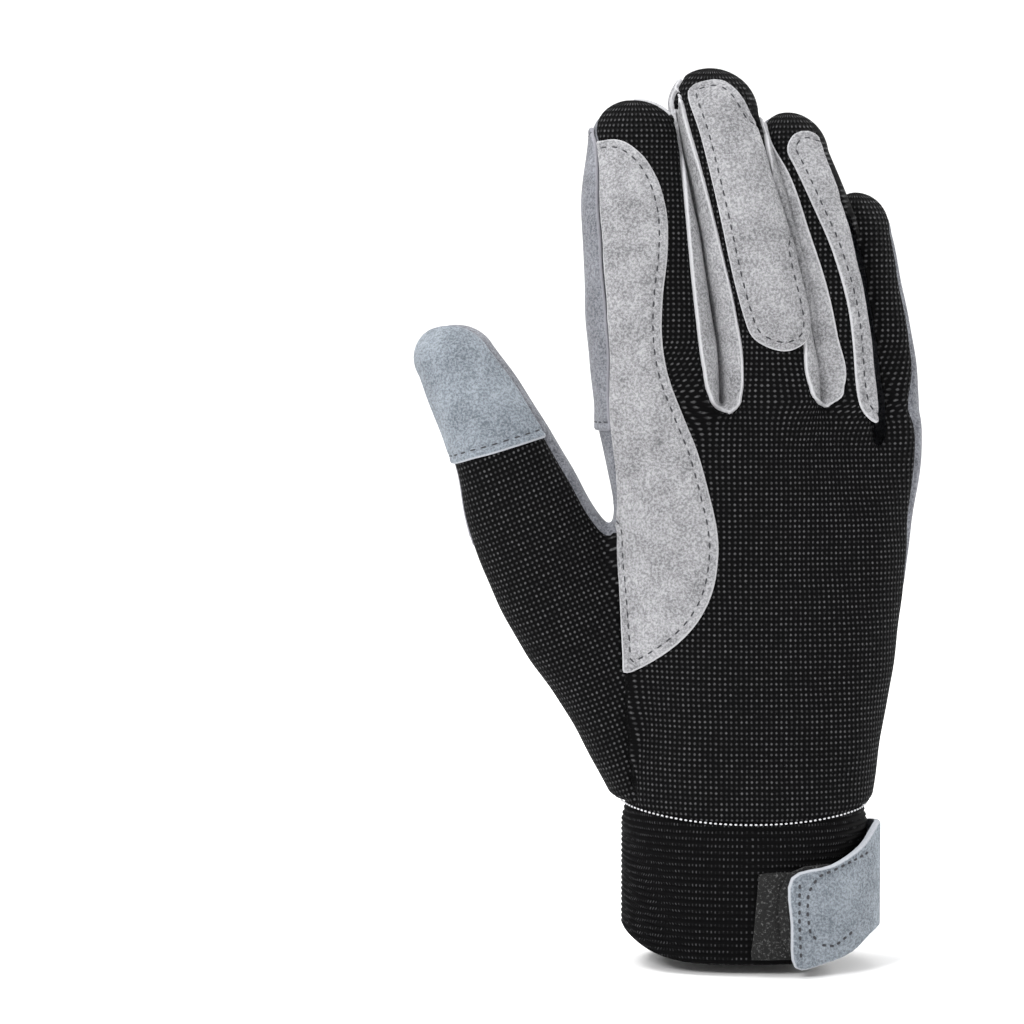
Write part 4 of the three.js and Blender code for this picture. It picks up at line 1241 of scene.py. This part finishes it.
def thread_form():
    """A short round thread along X, of length one and radius one."""
    angles = np.arange(THREAD_SIDES) * 2 * np.pi / THREAD_SIDES
    rings = []
    for along, size in zip(THREAD_ROWS["along"], THREAD_ROWS["size"]):
        flat = np.full(THREAD_SIDES, along)
        rings.append(np.stack([flat, np.cos(angles) * size, np.sin(angles) * size], 1))
    points = np.concatenate([*rings, [[-THREAD_POINT, 0, 0], [THREAD_POINT, 0, 0]]])
    first, last = len(points) - 2, len(points) - 1
    top = (len(rings) - 1) * THREAD_SIDES
    sides, ends = [], []
    for i in range(THREAD_SIDES):
        j = (i + 1) % THREAD_SIDES
        ends += [[first, j, i], [last, top + i, top + j]]
    for a in range(0, top, THREAD_SIDES):
        b = a + THREAD_SIDES
        for i in range(THREAD_SIDES):
            j = (i + 1) % THREAD_SIDES
            sides += [[a + i, a + j, b + j], [a + i, b + j, b + i]]
    return points, np.array(sides + ends)


def along_path(at, travelled, values):
    """The values of a path's points at a distance travelled along it."""
    return np.array([np.interp(at, travelled, values[:, axis]) for axis in range(3)])


def stitches(paths, pitch, length, width, sink=0.0):
    """Threads laid end to end along paths, each following the surface."""
    form, form_faces = thread_form()
    points, faces = [], []
    for places, normals in paths:
        steps = np.linalg.norm(np.diff(places, axis=0), axis=1)
        travelled = np.concatenate([[0], np.cumsum(steps)])
        for number in range(int(travelled[-1] / pitch)):
            middle = (number + 0.5) * pitch
            start = along_path(middle - length / 2, travelled, places)
            end = along_path(middle + length / 2, travelled, places)
            normal = along_path(middle, travelled, normals)
            along = end - start
            size = np.linalg.norm(along)
            if size < length * SHORTEST_THREAD:
                continue
            along = along / size
            side = np.cross(normal, along)
            side = side / np.linalg.norm(side)
            up = np.cross(along, side)
            place = (
                (start + end) / 2
                - up * sink
                + form[:, :1] * length * along
                + form[:, 1:2] * width / 2 * side
                + form[:, 2:] * width / 2 * up
            )
            faces.append(form_faces + len(form) * len(points))
            points.append(place)
    return np.concatenate(points), np.concatenate(faces)


def laid_path(surface, rows):
    """A path given as x and level, laid on the outer face of a surface seen from its side."""
    raised = outer_face(surface["data"])
    tree = tree_of(raised * [1, 0, 1])
    path = np.stack([rows["x"] * PALM_WIDTH, height_at(rows["level"])], 1)
    places, normals = [], []
    for start, end in zip(path[:-1], path[1:]):
        count = max(int(np.linalg.norm(end - start) / LAID_STEP), 2)
        for share in np.arange(count) / count:
            x, z = start + share * (end - start)
            index = [found[1] for found in tree.find_n((x, 0, z), LAID_POINTS)]
            places.append((x, raised[index, 1].mean(), z))
            normals.append(surface["data"]["normal"][index].mean(0))
    return np.array(places), np.array(normals)


def cuff_section(angle, z, outward):
    """A point of the cuff at an angle round it, 0 at the little finger's side."""
    c, s = np.cos(angle), np.sin(angle)
    power = 2 / SQUARENESS
    narrowed = CUFF_NARROWED * smoothstep(c, NARROWED_FROM, 1)
    x = np.sign(c) * np.abs(c) ** power * (WRIST_WIDTH / 2 + outward - narrowed)
    y = np.sign(s) * np.abs(s) ** power * (WRIST_DEPTH / 2 + outward)
    rise = RIM_RISE * np.abs(c) ** 4 * (1 - z / CUFF_HEIGHT)
    return np.stack(np.broadcast_arrays(x, y, z + rise), -1)


def grid_faces(rows, columns, closed):
    """Two triangles for each cell of a grid of points, closed both ways or open both ways."""
    fewer = 0 if closed else 1
    row, column = np.meshgrid(np.arange(rows - fewer), np.arange(columns - fewer), indexing="ij")
    row, column = row.ravel(), column.ravel()
    row_after, column_after = (row + 1) % rows, (column + 1) % columns
    corners = [(row, column), (row, column_after), (row_after, column_after), (row_after, column)]
    quads = np.stack([r * columns + c for r, c in corners], 1)
    return np.concatenate([quads[:, [0, 1, 2]], quads[:, [0, 2, 3]]])


def make_cuff():
    """The ribbed elastic as a closed tube wall, tucked in under the hand at its top."""
    angles = np.arange(CUFF_COLUMNS) * 2 * np.pi / CUFF_COLUMNS
    base = cuff_section(angles, np.zeros(CUFF_COLUMNS), 0)
    edge = cuff_top(base[:, 0], base[:, 1]) - CUFF_TOP_GAP
    rows = []
    for share in np.arange(CUFF_ROWS + 1) / CUFF_ROWS:
        z = share * edge
        rib = RIB_DEPTH * (np.cos(2 * np.pi * z / RIB_PITCH) - 1) / 2
        tuck = CUFF_TUCK * smoothstep(z, edge - CUFF_TUCK_HEIGHT, edge)
        rim = RIM_ROUNDING * (1 - rounded(z, RIM_ROUNDING)) / 2
        rows.append(cuff_section(angles, z, rib - tuck - rim))
    outer = np.stack(rows)
    inner = outer * [1 - 2 * CUFF_WALL / WRIST_WIDTH, 1 - 2 * CUFF_WALL / WRIST_DEPTH, 1]
    points = np.concatenate([outer, inner[::-1]]).reshape(-1, 3)
    arc = angles * (WRIST_WIDTH + WRIST_DEPTH) / 4
    cloth = np.stack(np.broadcast_arrays(arc, outer[..., 2]), -1)
    data = {"co": points, "knit": np.concatenate([cloth, cloth[::-1]]).reshape(-1, 2)}
    faces = grid_faces(2 * (CUFF_ROWS + 1), CUFF_COLUMNS, True)
    add_piece("ribbed_cuff", points, faces, "elastic_black", data, ["cuff"], smooth_angle=80)


def cuff_layer_surface(rows, outward, back_only_to):
    """A fine surface over the cuff inside an outline, at a distance from its face."""
    angles = np.linspace(*LAYER_ANGLES, LAYER_COLUMNS)
    heights = np.linspace(*LAYER_HEIGHTS, LAYER_ROWS)
    angle, z = np.meshgrid(angles, heights)
    points = cuff_section(angle, z, outward(angle)).reshape(-1, 3)
    faces = grid_faces(LAYER_ROWS, LAYER_COLUMNS, False)
    corners = points[faces]
    facing = np.cross(corners[:, 1] - corners[:, 0], corners[:, 2] - corners[:, 0])
    normal = np.zeros_like(points)
    for i in range(3):
        np.add.at(normal, faces[:, i], facing)
    normal = normal / np.linalg.norm(normal, axis=1)[:, None]
    surface = {"faces": faces, "data": {"co": points, "normal": normal}}
    values = outline_distance(rows, points[:, 0], points[:, 2])
    values = np.maximum(values, points[:, 1] - back_only_to)
    return largest_part(cut(surface, values)[0])


def patch_away(angle):
    """The loop patch lies evenly on the cuff."""
    return np.full(angle.shape, LAYER_GAP)


def strap_away(distance):
    """The strap lifts off towards the little finger's side and comes back round it."""
    def outward(angle):
        side = np.maximum(np.cos(angle), 0) ** 2
        lifted = distance + (STRAP_SIDE + STRAP_LIFT - distance) * side
        back = smoothstep(np.sin(angle), STRAP_TURN[0], STRAP_TURN[1])
        return lifted + (LAYER_GAP - lifted) * back
    return outward


def make_loop_patch():
    """The loop pile on the cuff, a little uneven."""
    patch = cuff_layer_surface(OUTLINES["loop_patch"], patch_away, 0)
    random = np.random.default_rng(FUZZ_SEED)
    fuzz = random.uniform(-LOOP_FUZZ, LOOP_FUZZ, len(patch["data"]["co"]))
    raised = LOOP_THICKNESS * edge_height(border_distance(patch), LOOP_EDGE) + fuzz
    points, faces = thick(patch, raised, 0)
    add_piece("loop_pile", points, faces, "pile_black", nodes=["cuff_loop_patch"])


def make_strap():
    """The hook layer and the suede strap over it, with its stitches."""
    hook_base = LAYER_GAP + LOOP_THICKNESS + LAYER_GAP
    hook = cuff_layer_surface(OUTLINES["hook_patch"], strap_away(hook_base), 0)
    points, faces = thick(hook, HOOK_THICKNESS, 0)
    add_piece("hook_layer", points, faces, "pile_black", nodes=["strap_hook_patch"])
    strap_base = hook_base + HOOK_THICKNESS + LAYER_GAP
    strap = cuff_layer_surface(OUTLINES["strap"], strap_away(strap_base), STRAP_WRAP)
    strap["data"]["edge"] = border_distance(strap)
    strap = with_lines(strap, "edge", STRAP_EDGE["lines"])
    data = strap["data"]
    data["outer"] = STRAP_THICKNESS * edge_height(data["edge"], STRAP_EDGE)
    points, faces = thick(strap, data["outer"], 0)
    add_piece("suede_strap", points, faces, "suede_blue", data, ["wrist_strap"])
    paths = [laid_path(strap, rows) for rows in STRAP_ROWS]
    points, faces = stitches(paths, *STRAP_STITCH)
    add_piece("strap_stitches", points, faces, "suede_blue", thread="thread_dark")


def make_cuff_thread():
    """The pale overlock thread along the cuff's upper edge."""
    angles = np.linspace(-np.pi, np.pi, CUFF_THREAD_POINTS)
    line = cuff_section(angles, np.zeros(len(angles)), 0)
    line[:, 2] = cuff_top(line[:, 0], line[:, 1]) - CUFF_TOP_GAP
    outward = line * [1, 1, 0]
    outward = outward / np.linalg.norm(outward, axis=1)[:, None]
    line = line + outward * (CUFF_THREAD_AWAY - CUFF_TUCK)
    keep = line[:, 1] < CUFF_THREAD_END
    points, faces = stitches([(line[keep], outward[keep])], *CUFF_STITCH)
    add_piece("cuff_overlock", points, faces, "elastic_black", thread="thread_light")


# Materials

class Surface:
    """A material with its shader, and the nodes that its colour is worked out from."""

    def __init__(self, name, roughness, specular=None):
        self.material = bpy.data.materials.new(name)
        self.material.use_nodes = True
        self.nodes = self.material.node_tree.nodes
        self.links = self.material.node_tree.links
        self.shader = self.nodes["Principled BSDF"]
        self.shader.inputs["Roughness"].default_value = roughness
        if specular is not None:
            self.shader.inputs["Specular IOR Level"].default_value = specular

    def connect(self, value, socket):
        """A link into a socket, or a number or colour set on it."""
        if isinstance(value, bpy.types.NodeSocket):
            self.links.new(value, socket)
        elif isinstance(value, tuple):
            socket.default_value = (*value, 1)
        else:
            socket.default_value = value

    def maths(self, operation, *values):
        """A maths node with links or numbers at its sockets."""
        node = self.nodes.new("ShaderNodeMath")
        node.operation = operation
        for socket, value in zip(node.inputs, values):
            self.connect(value, socket)
        return node.outputs[0]

    def mixed(self, share, first, second):
        """Two colours mixed by a share."""
        node = self.nodes.new("ShaderNodeMix")
        node.data_type = "RGBA"
        colours = [socket for socket in node.inputs if socket.type == "RGBA"]
        for socket, value in zip(colours, (first, second)):
            self.connect(value, socket)
        self.links.new(share, node.inputs[0])
        return next(socket for socket in node.outputs if socket.type == "RGBA")

    def noise(self, scale, detail, roughness):
        """Noise that is fixed to the object."""
        coordinates = self.nodes.new("ShaderNodeTexCoord")
        node = self.nodes.new("ShaderNodeTexNoise")
        settings = {"Scale": scale, "Detail": detail, "Roughness": roughness}
        settings["Vector"] = coordinates.outputs["Object"]
        for socket, value in settings.items():
            self.connect(value, node.inputs[socket])
        return node.outputs["Fac"]

    def remap(self, value, low, high, to_low=0.0, to_high=1.0):
        """A smooth step between two values."""
        node = self.nodes.new("ShaderNodeMapRange")
        node.interpolation_type = "SMOOTHSTEP"
        ends = {"From Min": low, "From Max": high, "To Min": to_low, "To Max": to_high}
        ends["Value"] = value
        for socket, end in ends.items():
            self.connect(end, node.inputs[socket])
        return node.outputs["Result"]

    def cloth_waves(self, across, along):
        """Waves across and along the cloth from turns added to its places."""
        coordinates = self.nodes.new("ShaderNodeUVMap")
        coordinates.uv_map = "cloth"
        parts = self.nodes.new("ShaderNodeSeparateXYZ")
        self.links.new(coordinates.outputs["UV"], parts.inputs[0])
        waves = []
        for axis, (pitch, shift) in zip("XY", (across, along)):
            turns = self.maths("MULTIPLY", parts.outputs[axis], 2 * math.pi / (pitch * MM))
            if shift is not None:
                turns = self.maths("ADD", turns, shift)
            waves.append(self.maths("COSINE", turns))
        return waves

    def finish(self, colour, height, distance, strength):
        """The material, with its colour and a bump from a height. distance is in metres."""
        self.connect(colour, self.shader.inputs["Base Color"])
        node = self.nodes.new("ShaderNodeBump")
        node.inputs["Distance"].default_value = distance
        node.inputs["Strength"].default_value = strength
        self.links.new(height, node.inputs["Height"])
        self.links.new(node.outputs["Normal"], self.shader.inputs["Normal"])
        return self.material


def suede(name, dark, light, cut_edge):
    """Split leather: a fine speckle, soft patches and a paler cut edge."""
    surface = Surface(name, roughness=0.95, specular=0.15)
    surface.shader.inputs["Sheen Weight"].default_value = 0.12
    speckle = surface.remap(surface.noise(SPECKLE_SCALE, detail=3, roughness=0.75), 0.36, 0.64)
    patches = surface.remap(surface.noise(PATCH_SCALE, detail=3, roughness=0.6), 0.3, 0.7)
    share = surface.maths("MULTIPLY_ADD", patches, 0.3, surface.maths("MULTIPLY", speckle, 0.7))
    edge = surface.nodes.new("ShaderNodeAttribute")
    edge.attribute_name = "edge"
    paler = surface.remap(edge.outputs["Fac"], 0.1, 0.6, to_low=1.0, to_high=0.0)
    colour = surface.mixed(paler, surface.mixed(share, dark, light), cut_edge)
    return surface.finish(colour, speckle, distance=0.00025, strength=0.6)


def knit(name):
    """Black knit: rows of small raised stitches that catch the light."""
    surface = Surface(name, roughness=0.85, specular=0.06)
    wander = surface.noise(WANDER_SCALE, detail=2, roughness=0.5)
    shift = surface.maths("MULTIPLY", surface.maths("SUBTRACT", wander, 0.5), 0.9)
    across, along = surface.cloth_waves((KNIT_ACROSS, shift), (KNIT_ALONG, shift))
    both = surface.maths("MULTIPLY_ADD", across, 0.5, surface.maths("MULTIPLY", along, 0.5))
    dots = surface.remap(both, 0.2, 0.95)
    uneven = surface.noise(KNIT_SCALE, detail=1, roughness=0.5)
    uneven = surface.remap(uneven, 0.35, 0.7, to_low=0.25)
    colour = surface.mixed(surface.maths("MULTIPLY", dots, uneven), KNIT_DARK, KNIT_LIGHT)
    return surface.finish(colour, both, distance=0.0003, strength=0.8)


def elastic(name):
    """Ribbed black elastic, with pale ticks along each rib."""
    surface = Surface(name, roughness=0.8, specular=0.06)
    across, along = surface.cloth_waves((TICK_PITCH, None), (RIB_PITCH, None))
    ribs = surface.remap(along, 0.0, 0.9)
    ticks = surface.remap(across, 0.1, 0.9)
    uneven = surface.noise(ELASTIC_SCALE, detail=2, roughness=0.5)
    uneven = surface.remap(uneven, 0.4, 0.65, to_low=0.1)
    share = surface.maths("MULTIPLY", surface.maths("MULTIPLY", ribs, ticks), uneven)
    colour = surface.mixed(share, ELASTIC_DARK, ELASTIC_LIGHT)
    return surface.finish(colour, share, distance=0.0002, strength=0.7)


def pile(name):
    """Fuzzy black loops with a few pale ones."""
    surface = Surface(name, roughness=0.9)
    loops = surface.noise(PILE_SCALE, detail=3, roughness=0.7)
    colour = surface.mixed(surface.remap(loops, 0.52, 0.72), PILE_DARK, PILE_LIGHT)
    return surface.finish(colour, loops, distance=0.0008, strength=1.0)


def plain(name, colour, roughness=0.8):
    """One colour all over, for threads and the floor."""
    surface = Surface(name, roughness)
    surface.shader.inputs["Base Color"].default_value = (*colour, 1)
    return surface.material


MATERIALS = {
    **{name: suede(name, *colours) for name, colours in SUEDE_COLOURS.items()},
    "knit_black": knit("knit_black"),
    "elastic_black": elastic("elastic_black"),
    "pile_black": pile("pile_black"),
    "thread_dark": plain("thread_dark", THREAD_DARK),
    "thread_light": plain("thread_light", THREAD_LIGHT),
    "grey_thread_and_shade": plain("grey_thread_and_shade", GREY_THREAD_AND_SHADE),
    "floor": plain("floor", FLOOR_COLOUR, 0.9),
}

# The glove put together, with its floor, lights and camera

def side_of(line_name, sign):
    """A test of which side of a finger gap a place is on, negative inside."""
    return lambda data: sign * data[line_name]


def on_back(data):
    """A test of being on the back of the glove, just over the seam."""
    return data["seam"] + SEAM_OVERLAP


def on_palm(data):
    """A test of being on the palm's side, just over the seam."""
    return SEAM_OVERLAP - data["seam"]


# Layers sewn on: slot, length of the finger that its levels belong to, and limits
OVERLAYS = {
    "index_overlay": ("suede_light", INDEX_LENGTH, [on_back, side_of("index_middle", 1)]),
    "middle_overlay": (
        "suede_light", MIDDLE_LENGTH,
        [on_back, side_of("index_middle", -1), side_of("middle_ring", 1)],
    ),
    "ring_overlay": (
        "suede_light", RING_LENGTH,
        [on_back, side_of("middle_ring", -1), side_of("ring_little", 1)],
    ),
    "thumb_cap": ("suede_blue", MIDDLE_LENGTH, [on_back]),
    "palm_pad": ("suede_grey", MIDDLE_LENGTH, [on_palm]),
    "index_pad": ("suede_grey", INDEX_LENGTH, [on_palm, side_of("index_middle", 1)]),
    "thumb_pad": ("suede_grey", MIDDLE_LENGTH, [on_palm]),
}


def away_from_seams(data):
    """Where a layer's border is its own outline and not a seam of the glove."""
    away = np.abs(data["seam"]) > SEWN_AWAY
    for line in FINGER_GAPS:
        away &= np.abs(data[line["name"]]) > SEWN_AWAY
    return away


def make_panels(skin):
    """The strips between the fingers, the back, the thumb's back and the palm."""
    rest = skin
    for line in FINGER_GAPS:
        x, y, z = rest["data"]["co"].T
        strip, rest, _ = cut(rest, strip_distance(line, x, y, z, rest["data"]["seam"]))
        panel(f"side_strip_{line['name']}", largest_part(strip), "suede_light", STRIP_RAISED)
    back, palm, _ = cut(rest, rest["data"]["seam"])
    thumb, back, _ = cut(back, back["data"]["thumb"])
    panel("back_panel", back, "knit_black")
    panel("thumb_back", thumb, "knit_black")
    panel("palm_panel", palm, "suede_grey")


def make_overlays(skin):
    """The layers sewn on the panels, with their stitches."""
    x, _, z = skin["data"]["co"].T
    for node, (slot, finger_length, limits) in OVERLAYS.items():
        values = outline_distance(OUTLINES[node], x, z, finger_length)
        for limit in limits:
            values = np.maximum(values, limit(skin["data"]))
        layer = overlay(node, skin, values, slot, away_from_seams)
        paths = level_paths(layer, "sewn", STITCH_INSET)
        on_palm_side = on_palm in limits
        sizes = PALM_STITCH if on_palm_side else OVERLAY_STITCH
        # The palm side's stitches take the grey thread darkened with painted shade for the shadows
        # round them
        thread = "grey_thread_and_shade" if on_palm_side else "thread_dark"
        points, faces = stitches(paths, *sizes, sink=STITCH_SINK)
        add_piece(f"{node}_stitches", points, faces, slot, thread=thread)
        if node == "palm_pad":
            points, faces = stitches([laid_path(layer, CROTCH_ROWS)], *PALM_STITCH)
            add_piece("crotch_stitches", points, faces, slot, thread=thread)


def make_floor():
    """A pale floor that curves up into a backdrop."""
    profile = [(FLOOR_START, 0.0), (FLOOR_END, 0.0)]
    for i in range(1, BEND_STEPS + 1):
        angle = i / BEND_STEPS * math.pi / 2
        rise = FLOOR_BEND * (1 - math.cos(angle))
        profile.append((FLOOR_END + FLOOR_BEND * math.sin(angle), rise))
    profile.append((FLOOR_END + FLOOR_BEND, WALL_HEIGHT))
    level = FLOOR_LEVEL * MM
    points = [(side * FLOOR_HALF_WIDTH, y, z + level) for y, z in profile for side in (-1, 1)]
    faces = [(2 * i, 2 * i + 1, 2 * i + 3, 2 * i + 2) for i in range(len(profile) - 1)]
    mesh = bpy.data.meshes.new("floor")
    mesh.from_pydata(points, [], faces)
    mesh.polygons.foreach_set("use_smooth", np.ones(len(faces), bool))
    mesh.materials.append(MATERIALS["floor"])
    floor = bpy.data.objects.new("floor", mesh)
    bpy.context.scene.collection.objects.link(floor)


def stand(obj, place, towards):
    """Puts a light or camera at a place, looking in a direction."""
    obj.location = place
    obj.rotation_mode = "QUATERNION"
    obj.rotation_quaternion = towards.to_track_quat("-Z", "Y")
    bpy.context.scene.collection.objects.link(obj)


def make_studio():
    """White light from all round, and the lamps."""
    world = bpy.data.worlds.new("studio")
    world.use_nodes = True
    background = world.node_tree.nodes["Background"]
    background.inputs["Color"].default_value = (1, 1, 1, 1)
    background.inputs["Strength"].default_value = WORLD_STRENGTH
    bpy.context.scene.world = world
    for name, place, size, power in LIGHTS:
        light = bpy.data.lights.new(name, "AREA")
        light.shape = "DISK"
        light.size = size
        light.energy = power
        stand(bpy.data.objects.new(name, light), place, Vector(LIT_PLACE) - Vector(place))


def make_camera():
    """The photograph's view of the glove, from a little above."""
    camera = bpy.data.cameras.new("camera")
    camera.lens = CAMERA_LENS
    camera.sensor_width = SENSOR_WIDTH
    distance = PIXELS * PIXEL_SIZE * CAMERA_LENS / SENSOR_WIDTH * MM
    right_of_glove, above_rim = PIXELS / 2 - MIDDLE_PIXEL, RIM_PIXEL - PIXELS / 2
    aim = Vector((right_of_glove * PIXEL_SIZE * MM, 0, above_rim * PIXEL_SIZE * MM))
    tilt = math.radians(CAMERA_RISE)
    away = Vector((0, -math.cos(tilt), math.sin(tilt)))
    obj = bpy.data.objects.new("camera", camera)
    stand(obj, aim + away * distance, -away)
    bpy.context.scene.camera = obj


glove_skin = whole_surface()
make_panels(glove_skin)
make_overlays(glove_skin)
make_cuff()
make_loop_patch()
make_strap()
make_cuff_thread()
make_floor()
make_studio()
make_camera()
bpy.context.scene.view_settings.view_transform = "Standard"
